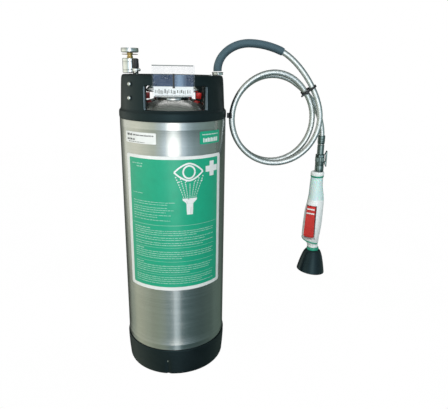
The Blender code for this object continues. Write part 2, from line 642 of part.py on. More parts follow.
def hose_centreline():
    """Over the arch, round the coil and down to the hand piece."""
    start, end = loop_point(0.0), loop_point(END_TURN)
    lead = bezier((0.2235, 0, 0.6754), (0.2650, -0.0030, 0.6530),
                  (start.x, start.y - 0.0015, start.z + 0.0450), tuple(start), 11)
    coil = [tuple(loop_point(END_TURN * i / COIL_STEPS)) for i in range(COIL_STEPS + 1)]
    leaving = (end - loop_point(END_TURN - 4)).normalized()
    tail = bezier(tuple(end), tuple(end + leaving * 0.046), (GRIP_X - 0.0030, GRIP_Y, 0.5480),
                  (GRIP_X, GRIP_Y, 0.5070), 8)
    return hose_arch() + lead[1:] + coil[1:] + tail[1:] + [(GRIP_X, GRIP_Y, 0.4850)]


def hose():
    finish("braided_hose", swept(hose_centreline(), HOSE_R, 8), BRAID)
    finish("hose_sleeve", swept_pipe(hose_arch(), SLEEVE_R, SLEEVE_R_IN, 10), RUBBER)


# ---------------------------------------------------------------- coil tie
TIE = Vector((0.2845, 0.0, 0.6050))
TIE_OUT = Vector((0.809, 0.0, 0.588)).normalized()      # away from the coil's centre
TIE_ALONG = Vector((TIE_OUT.z, 0.0, -TIE_OUT.x))        # along the strands
TIE_REACH = 0.03          # strands further than this from TIE are not tied
TIE_HALF_W = 0.0024
TIE_CLEARANCE, TIE_T = 0.0013, 0.0013


def strand_crossings():
    """(outward distance, y) where each tied strand crosses the tie's plane."""
    crossings = []
    line = [Vector(p) for p in hose_centreline()]
    for start, end in zip(line, line[1:]):
        before, after = (start - TIE).dot(TIE_ALONG), (end - TIE).dot(TIE_ALONG)
        if before * after <= 0 and abs(before - after) > 1e-9:
            hit = start + (end - start) * (before / (before - after))
            outward = (hit - TIE).dot(TIE_OUT)
            if abs(outward) < TIE_REACH:
                crossings.append((outward, hit.y))
    return crossings


def convex_hull(points):
    points = sorted(set(points))

    def turns_left(a, b, c):
        return (b[0] - a[0]) * (c[1] - b[1]) - (b[1] - a[1]) * (c[0] - b[0]) > 0

    def half(sequence):
        chain = []
        for point in sequence:
            while len(chain) > 1 and not turns_left(chain[-2], chain[-1], point):
                chain.pop()
            chain.append(point)
        return chain[:-1]
    return half(points) + half(points[::-1])


def tie_loop(radius):
    """Taut outline round circles of this radius on the tied strands."""
    return convex_hull([(round(outward + radius * cos(w), 7), round(y + radius * sin(w), 7))
                        for outward, y in strand_crossings() for w in full_turn(16)])


def coil_tie():
    inner = tie_loop(HOSE_R + TIE_CLEARANCE)
    outer = tie_loop(HOSE_R + TIE_CLEARANCE + TIE_T)
    point_rings = []
    for loop, shift in ((inner, -TIE_HALF_W), (outer, -TIE_HALF_W),
                        (outer, TIE_HALF_W), (inner, TIE_HALF_W)):
        centres = [(TIE + TIE_OUT * outward + TIE_ALONG * shift, y) for outward, y in loop]
        point_rings.append([(p.x, y, p.z) for p, y in centres])
    solid = bmesh.new()
    rings = add_rings(solid, point_rings)
    bridge(solid, rings + rings[:1])
    finish("coil_tie", solid, BLACK)


# ---------------------------------------------------------------- lip clip
CLIP_R, CLIP_R_IN = 0.0080, 0.0069


def lip_clip():
    """Open ring round the first turn's -X strand, with a flat back on the ring's lip."""
    strand = loop_point(180.0)
    back = (LIP_R + 0.0003) - strand.x
    outline = arc(0, 0, CLIP_R, 100, 158, 6) + [(back, 0.0030), (back, -0.0030)]
    outline += arc(0, 0, CLIP_R, 202, 260, 6) + arc(0, 0, CLIP_R_IN, 260, 100, 12)
    finish("lip_clip", prism(outline, -0.005, 0.005, at(strand.x, strand.y, 0.5490)), BLACK)


# ---------------------------------------------------------------- hand piece, upper end
NUT_TOP = 0.4846
# (r, z) profiles
END_FERRULE = [(0.0067, 0.4860), (0.0074, 0.4860), (0.0080, 0.5020), (0.0074, 0.5050),
               (0.0067, 0.5050)]
SWIVEL_NUT = [(0.0, NUT_TOP), (0.0074, NUT_TOP), (0.0074, 0.4640), (0.0103, 0.4623),
              (0.0103, 0.4480), (0.0097, 0.4470), (0.0097, 0.4248), (0.0, 0.4248)]
# (x from the hand piece's axis, z)
HANG_CLIP = [(0.0107, 0.4472), (0.0107, 0.4452), (0.0128, 0.4402), (0.0142, 0.4352),
             (0.0152, 0.4362), (0.0152, 0.4702), (0.0142, 0.4712), (0.0128, 0.4662),
             (0.0107, 0.4642), (0.0107, 0.4622), (0.0136, 0.4622), (0.0136, 0.4472)]


def hose_connection():
    axis = at(GRIP_X, GRIP_Y)
    finish("hose_end_ferrule", turned(END_FERRULE, 16, axis), CHROME)
    finish("swivel_nut", turned(SWIVEL_NUT, 16, axis), BLACK, origin=(GRIP_X, GRIP_Y, NUT_TOP))
    finish("hang_clip", prism(HANG_CLIP, -0.0035, 0.0035, axis @ XZ_PLANE), CHROME)


# ---------------------------------------------------------------- hand piece, lofted pieces
# Stations are centre x, centre z, half width in x, half depth in y
GRIP_CAP = [(0.3195, 0.4244, 0.0135, 0.0135), (0.3190, 0.4230, 0.0147, 0.0147),
            (0.3187, 0.4140, 0.0147, 0.0147), (0.3187, 0.4122, 0.0138, 0.0138)]
GRIP_BODY = [(0.3185, 0.4118, 0.0136, 0.0132), (0.3183, 0.3900, 0.0146, 0.0140),
             (0.3195, 0.3720, 0.0165, 0.0160), (0.3193, 0.3550, 0.0182, 0.0186),
             (0.3172, 0.3350, 0.0200, 0.0198), (0.3161, 0.3130, 0.0208, 0.0204),
             (0.3147, 0.2910, 0.0206, 0.0204), (0.3136, 0.2690, 0.0192, 0.0190),
             (0.3166, 0.2610, 0.0160, 0.0158), (0.3194, 0.2530, 0.0127, 0.0127),
             (0.3204, 0.2450, 0.0123, 0.0123)]
NOZZLE_COLLAR = [(0.3210, 0.2446, 0.0132, 0.0132), (0.3212, 0.2381, 0.0140, 0.0140)]
SPRAY_ROSE = [(0.3205, 0.2260, 0.0060, 0.0060), (0.3205, 0.2192, 0.0070, 0.0070),
              (0.3205, 0.2185, 0.0150, 0.0150), (0.3204, 0.2155, 0.0155, 0.0155),
              (0.3204, 0.2145, 0.0140, 0.0140)]
MOUTH_TILT = radians(6.5)
CUP_WALL = 0.0028


def oval_ring(x, z, half_x, half_y, lean=0.0):
    """Oval section of the hand piece; `lean` tips its +X side down."""
    side, depth = Vector((cos(lean), 0, -sin(lean))), Vector((0, 1, 0))
    return [Vector((x, GRIP_Y, z)) + side * half_x * cos(w) + depth * half_y * sin(w)
            for w in full_turn(20)]


def lofted(stations):
    return skinned([oval_ring(*station) for station in stations])


def cup_station(k, inset):
    """k runs 0 at the neck to 1 at the mouth."""
    radius = 0.0152 + 0.0172 * (k ** 0.58) - inset
    return (0.3212 - 0.0022 * k, 0.2377 - 0.0520 * k, radius, radius, MOUTH_TILT * k)


def nozzle():
    """Collar, rubber cup whose mouth faces slightly towards -X, and spray rose."""
    finish("nozzle_collar", lofted(NOZZLE_COLLAR), GREEN)
    outer = [cup_station(k, 0.0) for k in (0.0, 0.03, 0.15, 0.4, 0.7, 0.9, 1.0)]
    inner = [cup_station(k, CUP_WALL) for k in (1.0, 0.7, 0.4, 0.2)]
    finish("rubber_cup", lofted(outer + inner), RUBBER)
    finish("spray_rose", lofted(SPRAY_ROSE), WHITE)


# ---------------------------------------------------------------- grip and squeeze lever
LEVER_DIR = Vector((sin(radians(-38.0)), -cos(radians(-38.0)), 0))
LEVER_CENTRE = Vector((0.3168, GRIP_Y, 0))      # lever distances start from here
# local x -> outwards, local y -> up, local z -> across the lever
LEVER_FRAME = Matrix((LEVER_DIR, Vector((0, 0, 1)),
                      Vector((-LEVER_DIR.y, LEVER_DIR.x, 0)))).transposed().to_4x4()
LEVER_FRAME.translation = LEVER_CENTRE
PIVOT_OUT, PIVOT_Z = 0.0100, 0.3409
PIVOT_LINE = LEVER_FRAME @ at(PIVOT_OUT, PIVOT_Z)
PIVOT_HOLE_R = 0.0019
PLUNGER_BASE = LEVER_CENTRE + Vector((0, 0, 0.3029))
PLUNGER_TIP = 0.0176
# (outwards, z) outlines
RECESS = [(0.0060, 0.2680), (0.0400, 0.2680), (0.0400, 0.3487), (0.0060, 0.3487)]
LEVER = [(0.0150, 0.3469), (0.0185, 0.3439), (0.0205, 0.3220), (0.0222, 0.2950),
         (0.0224, 0.2760), (0.0212, 0.2735), (0.0196, 0.2740), (0.0188, 0.2950),
         (0.0165, 0.3220), (0.0128, 0.3362), (0.0080, 0.3379), (0.0070, 0.3409),
         (0.0080, 0.3437), (0.0110, 0.3457)]
PLUNGER = [(0, -0.0020), (0.0026, -0.0020), (0.0026, 0.0171), (0.0018, PLUNGER_TIP),
           (0, PLUNGER_TIP)]      # (r, distance outwards)


def grip():
    finish("grip_cap", lofted(GRIP_CAP), GREEN)
    body = finish("grip_body", lofted(GRIP_BODY), WHITE)
    cut(body,
        prism(RECESS, -0.0124, 0.0124, LEVER_FRAME),
        rod(PIVOT_HOLE_R, -0.0152, 0.0152, 12, PIVOT_LINE),
        rod(0.0031, -0.0080, 0.0080, 12, along(PLUNGER_BASE, LEVER_DIR)))


def trigger():
    pivot = LEVER_CENTRE + LEVER_DIR * PIVOT_OUT + Vector((0, 0, PIVOT_Z))
    lever = finish("trigger", prism(LEVER, -0.0119, 0.0119, LEVER_FRAME), RED,
                   origin=tuple(pivot))
    cut(lever, rod(PIVOT_HOLE_R, -0.02, 0.02, 12, PIVOT_LINE))
    finish("trigger_pin", rod(0.0015, -0.0147, 0.0147, 10, PIVOT_LINE), STEEL)
    finish("valve_plunger", turned(PLUNGER, 10, along(PLUNGER_BASE, LEVER_DIR)), STEEL,
           origin=tuple(PLUNGER_BASE + LEVER_DIR * PLUNGER_TIP))


# ---------------------------------------------------------------- card pouch on the -Y bar
SLOT_ZS = (0.6068, 0.6302)
SLOT_HALF_H = 0.0014


def rectangle(x0, x1, y0, y1):
    return [(x0, y0), (x1, y0), (x1, y1), (x0, y1)]


def card_pouch():
    pouch = finish("card_pouch", box(-0.0370, 0.0395, -0.1060, -0.1042, 0.5890, 0.6455),
                   CLEAR, smooth=False)
    cut(pouch, box(-0.0355, 0.0380, -0.1055, -0.1047, 0.5905, 0.6600))
    card = finish("inspection_card", box(-0.0345, 0.0370, -0.1053, -0.1049, 0.5912, 0.6430),
                  CARD, smooth=False)
    for sheet in (pouch, card):      # slots the tie is threaded through
        for z in SLOT_ZS:
            cut(sheet, box(-0.0010, 0.0040, -0.1100, -0.1000, z - SLOT_HALF_H, z + SLOT_HALF_H))


def pouch_tie():
    outside = rectangle(-0.1075, -0.0875, 0.6062, 0.6308)
    inside = rectangle(-0.1064, -0.0886, 0.6074, 0.6296)
    tie = finish("pouch_tie", prism(outside, 0.0, 0.0030, YZ_PLANE), BLACK, smooth=False)
    cut(tie, prism(inside, -0.0100, 0.0100, YZ_PLANE))


# ---------------------------------------------------------------- build
for build in (tank_shell, base_boot, handle_ring, labels, posts_and_couplings,
              valve_bracket, bracket_bolts, charging_valve_and_gauge, inflation_valve,
              lid, lid_ears, relief_valve, relief_spring, bail_wire, bail_feet,
              hose, coil_tie, lip_clip, hose_connection, grip, trigger, nozzle,
              card_pouch, pouch_tie):
    build()
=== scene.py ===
"""Looks for a portable eyewash station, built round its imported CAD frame.

A steel tank stands upright on the Z axis with its foot at z = 0. The front faces -Y and the right
is +X. The lid, ports and gauge are on top, and the coiled hose and the hand piece hang on the
right. Sizes are in metres. Outlines of turned parts are lists of (radius, z).
"""
import json
import random
from math import asin, copysign, cos, dist, exp, hypot, pi, radians, sin, sqrt, tau

import bmesh  # noqa: E402
import bpy  # noqa: E402
from mathutils import Matrix, Vector  # noqa: E402

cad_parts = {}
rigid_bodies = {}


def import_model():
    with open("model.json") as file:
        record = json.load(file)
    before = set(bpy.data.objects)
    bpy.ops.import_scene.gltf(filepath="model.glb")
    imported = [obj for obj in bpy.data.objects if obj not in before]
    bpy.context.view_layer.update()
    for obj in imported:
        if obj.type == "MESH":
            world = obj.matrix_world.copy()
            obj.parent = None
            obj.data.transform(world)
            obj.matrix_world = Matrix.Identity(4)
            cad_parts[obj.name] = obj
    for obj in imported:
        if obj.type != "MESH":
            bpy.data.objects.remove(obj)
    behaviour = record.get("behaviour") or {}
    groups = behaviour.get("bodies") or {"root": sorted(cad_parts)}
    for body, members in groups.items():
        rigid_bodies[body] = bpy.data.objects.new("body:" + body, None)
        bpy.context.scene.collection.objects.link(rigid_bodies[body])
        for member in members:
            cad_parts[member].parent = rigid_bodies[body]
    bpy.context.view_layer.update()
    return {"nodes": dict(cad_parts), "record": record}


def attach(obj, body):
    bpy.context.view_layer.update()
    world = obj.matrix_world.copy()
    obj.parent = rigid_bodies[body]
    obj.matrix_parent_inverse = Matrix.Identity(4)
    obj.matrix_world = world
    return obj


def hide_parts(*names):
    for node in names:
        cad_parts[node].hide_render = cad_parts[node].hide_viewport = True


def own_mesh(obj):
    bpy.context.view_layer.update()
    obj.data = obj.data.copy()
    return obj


for old_object in list(bpy.data.objects):
    bpy.data.objects.remove(old_object, do_unlink=True)

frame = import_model()
NODES = frame["nodes"]
NODE_SLOT = {part["node"]: part["material_slot"] for part in frame["record"]["subparts"]}

X = Vector((1, 0, 0))
Y = Vector((0, 1, 0))
Z = Vector((0, 0, 1))
SIDES = (("left", -1), ("right", 1))

# ------------------------------------------------------------------ shader node helpers


def put(tree, socket, value):
    """Link another socket into this one, or give it a plain value (colours are RGB)."""
    if isinstance(value, bpy.types.NodeSocket):
        tree.links.new(value, socket)
    elif socket.type == "RGBA":
        socket.default_value = (*value, 1)
    else:
        socket.default_value = value


def add_node(tree, kind, inputs=None, **settings):
    node = tree.nodes.new(kind)
    for name, value in settings.items():
        setattr(node, name, value)
    for key, value in (inputs or {}).items():
        put(tree, node.inputs[key], value)
    return node


def math_node(tree, operation, a, b=0.0):
    return add_node(tree, "ShaderNodeMath", {0: a, 1: b}, operation=operation).outputs[0]


def mix_node(tree, factor, a, b, **settings):
    inputs = {0: factor, 6: a, 7: b}
    return add_node(tree, "ShaderNodeMix", inputs, data_type="RGBA", **settings).outputs[2]


class Material:
    """A principled material with procedural detail in object space."""

    def __init__(self, name, color, metallic=0.0, rough=0.5, **more):
        self.material = bpy.data.materials.new(name)
        self.material.use_nodes = True
        self.tree = self.material.node_tree
        self.shader = self.tree.nodes["Principled BSDF"]
        self.set("Base Color", color)
        self.set("Metallic", metallic)
        self.set("Roughness", rough)
        for key, value in more.items():
            self.set(key.replace("_", " "), value)
        self.coord = self.tree.nodes.new("ShaderNodeTexCoord")

    def set(self, socket, value):
        put(self.tree, self.shader.inputs[socket], value)

    def noise(self, scale, detail=3.0, rough=0.55, stretch=(1, 1, 1), distortion=0.0):
        mapping = add_node(self.tree, "ShaderNodeMapping",
                           {"Scale": stretch, "Vector": self.coord.outputs["Object"]})
        inputs = {"Scale": scale, "Detail": detail, "Roughness": rough,
                  "Distortion": distortion, "Vector": mapping.outputs["Vector"]}
        return add_node(self.tree, "ShaderNodeTexNoise", inputs).outputs["Fac"]

    def span(self, value, low, high, start=0.3, end=0.7):
        """Map start..end of the value to low..high."""
        inputs = {"From Min": start, "From Max": end, "To Min": low, "To Max": high,
                  "Value": value}
        return add_node(self.tree, "ShaderNodeMapRange", inputs).outputs["Result"]

    def mix(self, factor, a, b):
        return mix_node(self.tree, factor, a, b)

    def add(self, a, b):
        return math_node(self.tree, "ADD", a, b)

    def bump(self, height, strength, distance):
        """Add a bump on top of any earlier one."""
        inputs = {"Strength": strength, "Distance": distance, "Height": height}
        node = add_node(self.tree, "ShaderNodeBump", inputs)
        earlier = self.shader.inputs["Normal"].links
        if earlier:
            put(self.tree, node.inputs["Normal"], earlier[0].from_socket)
        self.set("Normal", node.outputs["Normal"])


def shade(color, factor):
    return tuple(c * factor for c in color)


# ------------------------------------------------------------------ materials


def brushed_steel():
    m = Material("tank_steel", (0.56, 0.56, 0.54), metallic=1.0, rough=0.18,
                 Anisotropic=0.70, Anisotropic_Rotation=0.25)
    tangent = add_node(m.tree, "ShaderNodeTangent", direction_type="RADIAL", axis="Z")
    m.set("Tangent", tangent.outputs[0])
    # fine lines that run round the tank
    hair = m.noise(scale=260, detail=4, rough=0.7, stretch=(0.02, 0.02, 9.0))
    band = m.noise(scale=14, detail=3, rough=0.6, stretch=(0.4, 0.4, 3.0))
    smudge = m.noise(scale=18, detail=5, rough=0.6, distortion=0.6)
    color = m.mix(m.span(hair, low=0, high=1), (0.50, 0.50, 0.48), (0.64, 0.64, 0.62))
    m.set("Base Color", m.mix(m.span(smudge, low=0.0, high=0.35), color, (0.46, 0.46, 0.43)))
    rough = m.add(m.span(hair, low=0.11, high=0.20), m.span(smudge, low=0.0, high=0.05))
    m.set("Roughness", m.add(rough, m.span(band, low=-0.02, high=0.03)))
    m.bump(hair, strength=0.10, distance=0.0002)
    m.bump(smudge, strength=0.04, distance=0.001)
    return m.material


def plain_steel(name, base, rough):
    m = Material(name, base, metallic=1.0, rough=rough)
    hair = m.noise(scale=900, detail=3, rough=0.6, stretch=(1, 1, 0.2))
    spot = m.noise(scale=120, detail=4, rough=0.6)
    m.set("Base Color", m.mix(m.span(spot, low=0, high=0.5), base, shade(base, 0.72)))
    m.set("Roughness", m.add(m.span(hair, low=rough - 0.06, high=rough + 0.08),
                             m.span(spot, low=0, high=0.08)))
    m.bump(hair, strength=0.08, distance=0.0002)
    return m.material


def rubber(name, base, rough, dust):
    m = Material(name, base, rough=rough, Specular_IOR_Level=0.32,
                 Specular_Tint=(0.55, 0.92, 1.0))
    grain = m.noise(scale=1400, detail=2, rough=0.5)
    cloud = m.noise(scale=22, detail=5, rough=0.6, distortion=0.4)
    scuff = m.noise(scale=90, detail=6, rough=0.75, stretch=(1, 1, 2.5))
    color = m.mix(m.span(cloud, low=0.0, high=0.45), base, dust)
    scuffed = m.span(scuff, low=0.0, high=0.35, start=0.58, end=0.78)
    m.set("Base Color", m.mix(scuffed, color, shade(dust, 1.6)))
    m.set("Roughness", m.add(m.span(cloud, low=rough - 0.06, high=rough + 0.10),
                             m.span(scuff, low=0, high=0.10, start=0.5, end=0.8)))
    m.bump(grain, strength=0.22, distance=0.0002)
    m.bump(scuff, strength=0.10, distance=0.0004)
    return m.material


def chrome(name, base, rough):
    m = Material(name, base, metallic=1.0, rough=rough)
    spot = m.noise(scale=160, detail=4, rough=0.6)
    fine = m.noise(scale=1500, detail=2, rough=0.5)
    m.set("Base Color", m.mix(m.span(spot, low=0, high=0.4), base, shade(base, 0.78)))
    m.set("Roughness", m.add(m.span(spot, low=rough, high=rough + 0.10),
                             m.span(fine, low=0, high=0.03)))
    m.bump(fine, strength=0.03, distance=0.0001)
    return m.material


def plastic(name, base, rough, speck=0.10, **more):
    m = Material(name, base, rough=rough, **more)
    fine = m.noise(scale=1800, detail=2, rough=0.5)
    cloud = m.noise(scale=45, detail=4, rough=0.6)
    dark = shade(shade(base, 1 - speck), 0.92)
    m.set("Base Color", m.mix(m.span(cloud, low=0, high=1), base, dark))
    m.set("Roughness", m.add(m.span(cloud, low=rough - 0.05, high=rough + 0.08),
                             m.span(fine, low=0, high=0.04)))
    m.bump(fine, strength=0.10, distance=0.0001)
    m.bump(cloud, strength=0.03, distance=0.0008)
    return m.material


def printed(name, base, rough=0.30):
    """Printed vinyl: even ink with faint mottle and a satin skin."""
    m = Material(name, base, rough=rough, Coat_Weight=0.25, Coat_Roughness=0.25)
    mottle = m.noise(scale=70, detail=4, rough=0.6)
    grain = m.noise(scale=1600, detail=2, rough=0.5)
    m.set("Base Color", m.mix(m.span(mottle, low=0, high=1), base, shade(base, 0.90)))
    m.set("Roughness", m.span(grain, low=rough - 0.04, high=rough + 0.08))
    m.bump(mottle, strength=0.05, distance=0.0004)
    return m.material


def clear_film(name, tint, alpha):
    m = Material(name, tint, rough=0.08, IOR=1.45)
    crease = m.noise(scale=60, detail=4, rough=0.6, stretch=(1, 1, 0.4), distortion=0.8)
    m.set("Alpha", m.span(crease, low=alpha * 0.7, high=alpha * 1.5))
    m.set("Roughness", m.span(crease, low=0.04, high=0.14))
    m.bump(crease, strength=0.25, distance=0.0008)
    return m.material


def brass():
    m = Material("brass", (0.62, 0.43, 0.17), metallic=1.0, rough=0.22)
    spot = m.noise(scale=180, detail=4, rough=0.6)
    ring = m.noise(scale=1200, detail=2, rough=0.5, stretch=(0.1, 0.1, 1))
    m.set("Base Color", m.mix(m.span(spot, low=0, high=0.7),
                              (0.66, 0.47, 0.19), (0.42, 0.28, 0.10)))
    m.set("Roughness", m.span(spot, low=0.14, high=0.34))
    m.bump(ring, strength=0.10, distance=0.0002)
    return m.material


def blue_card():
    """See-through blue sheet with a soft pale reflection beside the pouch tie."""
    glare_x = 0.0115
    dark = (0.008, 0.028, 0.075)
    m = Material("blue_card", dark, rough=0.35, Alpha=0.80)
    cloud = m.span(m.noise(scale=60, detail=3), low=0, high=1)
    color = m.mix(cloud, dark, (0.022, 0.055, 0.130))
    place = add_node(m.tree, "ShaderNodeSeparateXYZ", {0: m.coord.outputs["Object"]})
    offset = math_node(m.tree, "SUBTRACT", place.outputs[0], glare_x)
    away = math_node(m.tree, "ABSOLUTE", offset)
    glare = m.span(away, low=1.0, high=0.0, start=0.001, end=0.014)
    m.set("Base Color", m.mix(glare, color, (0.20, 0.30, 0.44)))
    m.bump(m.noise(scale=900, detail=2), strength=0.1, distance=0.0002)
    return m.material


def film_edge():
    m = Material("film_edge", (0.52, 0.54, 0.55), rough=0.25)
    cloud = m.span(m.noise(scale=120, detail=3), low=0, high=1)
    m.set("Base Color", m.mix(cloud, (0.10, 0.12, 0.12), (0.18, 0.20, 0.20)))
    return m.material


STEEL = brushed_steel()
STEEL2 = plain_steel("machined_steel", (0.60, 0.60, 0.59), rough=0.25)
LID_STEEL = plain_steel("lid_steel", (0.62, 0.62, 0.60), rough=0.18)
RUBBER = rubber("black_rubber", (0.0040, 0.0065, 0.0075), rough=0.36, dust=(0.013, 0.018, 0.020))
CUP_RUBBER = rubber("cup_rubber", (0.0060, 0.0100, 0.0120), rough=0.28,
                    dust=(0.016, 0.023, 0.027))
# paler rubber for the hand hole jambs: a painted highlight on their rounded edges
JAMB_HIGHLIGHT = rubber("jamb_highlight_rubber", (0.13, 0.17, 0.20), rough=0.35, dust=(0.20, 0.25, 0.29))
SLEEVE = rubber("sleeve_rubber", (0.050, 0.080, 0.100), rough=0.42, dust=(0.085, 0.130, 0.155))
CHROME = chrome("chrome", (0.80, 0.80, 0.79), rough=0.07)
DARK_CHROME = chrome("dark_chrome", (0.19, 0.245, 0.235), rough=0.12)
BRASS = brass()
PRINT_INK = printed("label_fine_print", (0.42, 0.66, 0.56))
GREEN_INK = printed("label_green", (0.005, 0.36, 0.205))
WHITE_INK = printed("label_white", (0.82, 0.83, 0.83))
DARK_INK = printed("label_dark_ink", (0.03, 0.03, 0.035))
GREY_INK = printed("card_grey_ink", (0.15, 0.16, 0.15))
GREEN = plastic("green_plastic", (0.02, 0.30, 0.19), rough=0.30)
WHITE = plastic("white_plastic", (0.80, 0.83, 0.83), rough=0.30, speck=0.05)
FROSTED = plastic("frosted_plastic", (0.66, 0.84, 0.83), rough=0.28, speck=0.05,
                  Subsurface_Weight=0.15, Transmission_Weight=0.12)
RED = plastic("red_plastic", (0.58, 0.025, 0.022), rough=0.32, speck=0.12)
# darker copy of the red plastic: painted shade for the left bail foot, which lies in shadow
SHADED_RED = plastic("red_plastic_painted_shade", (0.20, 0.016, 0.018), rough=0.40, speck=0.25)
BLACK = plastic("black_plastic", (0.016, 0.017, 0.019), rough=0.38)
FILM = clear_film("clear_film", (0.30, 0.36, 0.44), alpha=0.03)
GLASS = clear_film("gauge_glass", (0.95, 0.97, 1.0), alpha=0.10)
BLUE_CARD = blue_card()
WIRE = plain_steel("braid_wire", (0.78, 0.79, 0.78), rough=0.22)
CORE = rubber("hose_core", (0.20, 0.205, 0.205), rough=0.4, dust=(0.28, 0.285, 0.285))

SLOT_MATERIAL = {
    "tank_steel": STEEL2, "black_rubber": RUBBER, "chrome": CHROME, "brass": BRASS,
    "label_green": GREEN_INK, "label_white": WHITE_INK, "green_plastic": GREEN,
    "white_plastic": WHITE, "red_plastic": RED, "black_plastic": BLACK,
    "clear_plastic": FILM, "braided_steel": WIRE, "card": BLUE_CARD,
}

# ------------------------------------------------------------------ objects


def add_object(name, bm, materials, body="tank", smooth=40):
    """Turn bm into a shaded object on a body. Edges above the smooth angle (degrees) are sharp."""
    bmesh.ops.remove_doubles(bm, verts=bm.verts, dist=1e-7)
    bmesh.ops.recalc_face_normals(bm, faces=bm.faces)
    mesh = bpy.data.meshes.new(name)
    bm.to_mesh(mesh)
    bm.free()
    mesh.shade_smooth()
    if smooth:
        mesh.set_sharp_from_angle(angle=radians(smooth))
    for material in materials if isinstance(materials, list) else [materials]:
        mesh.materials.append(material)
    ob = bpy.data.objects.new(name, mesh)
    bpy.context.scene.collection.objects.link(ob)
    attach(ob, body)
    return ob


def stand_in(node, bm, materials, body="tank", smooth=40):
    """Add the visible piece that takes the place of a CAD node."""
    ob = add_object(node + "_v", bm, materials, body, smooth)
    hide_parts(node)
    return ob


def extra(name, bm, materials, body="tank", smooth=40):
    """Add a visible piece that has no CAD node."""
    ob = add_object(name + "_v", bm, materials, body, smooth)
    return ob


def apply_modifiers(ob):
    bpy.context.view_layer.update()
    depsgraph = bpy.context.evaluated_depsgraph_get()
    mesh = bpy.data.meshes.new_from_object(ob.evaluated_get(depsgraph))
    ob.modifiers.clear()
    old = ob.data
    ob.data = mesh
    bpy.data.meshes.remove(old)


def carve(ob, name, solids):
    """Cut the solids out of an object."""
    tools = []
    for solid in solids:
        bmesh.ops.recalc_face_normals(solid, faces=solid.faces)
        mesh = bpy.data.meshes.new(name)
        solid.to_mesh(mesh)
        solid.free()
        tool = bpy.data.objects.new(name, mesh)
        bpy.context.scene.collection.objects.link(tool)
        cut = ob.modifiers.new(name, "BOOLEAN")
        cut.operation = "DIFFERENCE"
        cut.solver = "EXACT"
        cut.object = tool
        tools.append(tool)
    apply_modifiers(ob)
    for tool in tools:
        bpy.data.objects.remove(tool, do_unlink=True)


# ------------------------------------------------------------------ places and outlines


def at(x, y, z=0.0):
    return Matrix.Translation((x, y, z))


def placed(origin, x_axis, y_axis, z_axis):
    """Matrix with the given axes as columns."""
    matrix = Matrix((x_axis, y_axis, z_axis)).transposed().to_4x4()
    matrix.translation = Vector(origin)
    return matrix


def along(origin, direction):
    """Place a turned part with its axis along a direction that is not vertical."""
    axis = Vector(direction).normalized()
    side = Z.cross(axis)
    side.normalize()
    return placed(origin, side, axis.cross(side), axis)


def polar(radius, angle):
    return radius * cos(angle), radius * sin(angle)


def from_front(radius, angle, z=0.0):
    """Point at an angle from -Y, turning towards +X."""
    return Vector((radius * sin(angle), -radius * cos(angle), z))


def arc(cx, cz, radius, start, end, steps):
    """Points on an arc, with its angles in degrees."""
    angles = [radians(start + (end - start) * i / steps) for i in range(steps + 1)]
    return [(cx + radius * cos(a), cz + radius * sin(a)) for a in angles]


def band(inner, outer, low, high):
    """Rectangular outline of a disc, pin or ring."""
    return [(inner, low), (outer, low), (outer, high), (inner, high)]


def rounded(points, radius):
    """Round the corners of a closed (r, z) outline; points on the axis stay put."""
    out = []
    for i, p in enumerate(points):
        if p[0] < 1e-9:
            out.append(p)
            continue
        a, c = points[i - 1], points[(i + 1) % len(points)]
        to_a, to_c = dist(p, a), dist(p, c)
        d = min(radius, to_a * 0.45, to_c * 0.45)
        start = (p[0] + (a[0] - p[0]) * d / to_a, p[1] + (a[1] - p[1]) * d / to_a)
        end = (p[0] + (c[0] - p[0]) * d / to_c, p[1] + (c[1] - p[1]) * d / to_c)
        for t in (0.0, 0.5, 1.0):
            out.append(tuple(s * (1 - t) ** 2 + m * 2 * t * (1 - t) + e * t * t
                             for s, m, e in zip(start, p, end)))
    return out


def corner_cut(distance, radius):
    """How far a round corner pulls an edge in, at a distance from the end."""
    if distance >= radius:
        return 0.0
    return radius - sqrt(max(0.0, radius ** 2 - (radius - distance) ** 2))


def bulge(value, power):
    """Sine or cosine reshaped for a superellipse (2 is a plain ellipse)."""
    return copysign(abs(value) ** (2.0 / power), value)


def oval(centre, a, b, count, a_axis=X, b_axis=Y, power=2.0):
    points = []
    for k in range(count):
        angle = tau * k / count
        points.append(Vector(centre) + a_axis * a * bulge(cos(angle), power)
                      + b_axis * b * bulge(sin(angle), power))
    return points


def bezier(p0, p1, p2, p3, steps):
    out = []
    for i in range(steps + 1):
        t = i / steps
        u = 1 - t
        out.append(Vector([u ** 3 * a + 3 * u * u * t * b + 3 * u * t * t * c + t ** 3 * d
                           for a, b, c, d in zip(p0, p1, p2, p3)]))
    return out


def path_frames(path):
    """Parallel transported (point, side, other) along a path that does not start along Y."""
    out = []
    side = (path[1] - path[0]).normalized().cross(Y)
    side.normalize()
    for i, p in enumerate(path):
        tangent = (path[min(i + 1, len(path) - 1)] - path[max(i - 1, 0)]).normalized()
        side = (side - tangent * side.dot(tangent)).normalized()
        out.append((p, side.copy(), tangent.cross(side)))
    return out


def resample(path, step):
    out, left = [path[0].copy()], step
    for a, b in zip(path, path[1:]):
        length = (b - a).length
        done = 0.0
        while length - done >= left:
            done += left
            out.append(a.lerp(b, done / length))
            left = step
        left -= length - done
    if (out[-1] - path[-1]).length > step * 0.3:
        out.append(path[-1].copy())
    else:
        out[-1] = path[-1].copy()
    return out


# ------------------------------------------------------------------ solids


def stitch(bm, rings, closed=False):
    """Join each ring of vertices to the next, and the last to the first if closed."""
    following = rings[1:] + (rings[:1] if closed else [])
    for lower, upper in zip(rings, following):
        for k in range(len(lower)):
            j = (k + 1) % len(lower)
            bm.faces.new((lower[k], lower[j], upper[j], upper[k]))


def loft(sections, bm=None):
    """Capped solid through sections of equal point count."""
    bm = bm or bmesh.new()
    rings = [[bm.verts.new(p) for p in section] for section in sections]
    stitch(bm, rings)
    bm.faces.new(list(reversed(rings[0])))
    bm.faces.new(rings[-1])
    return bm


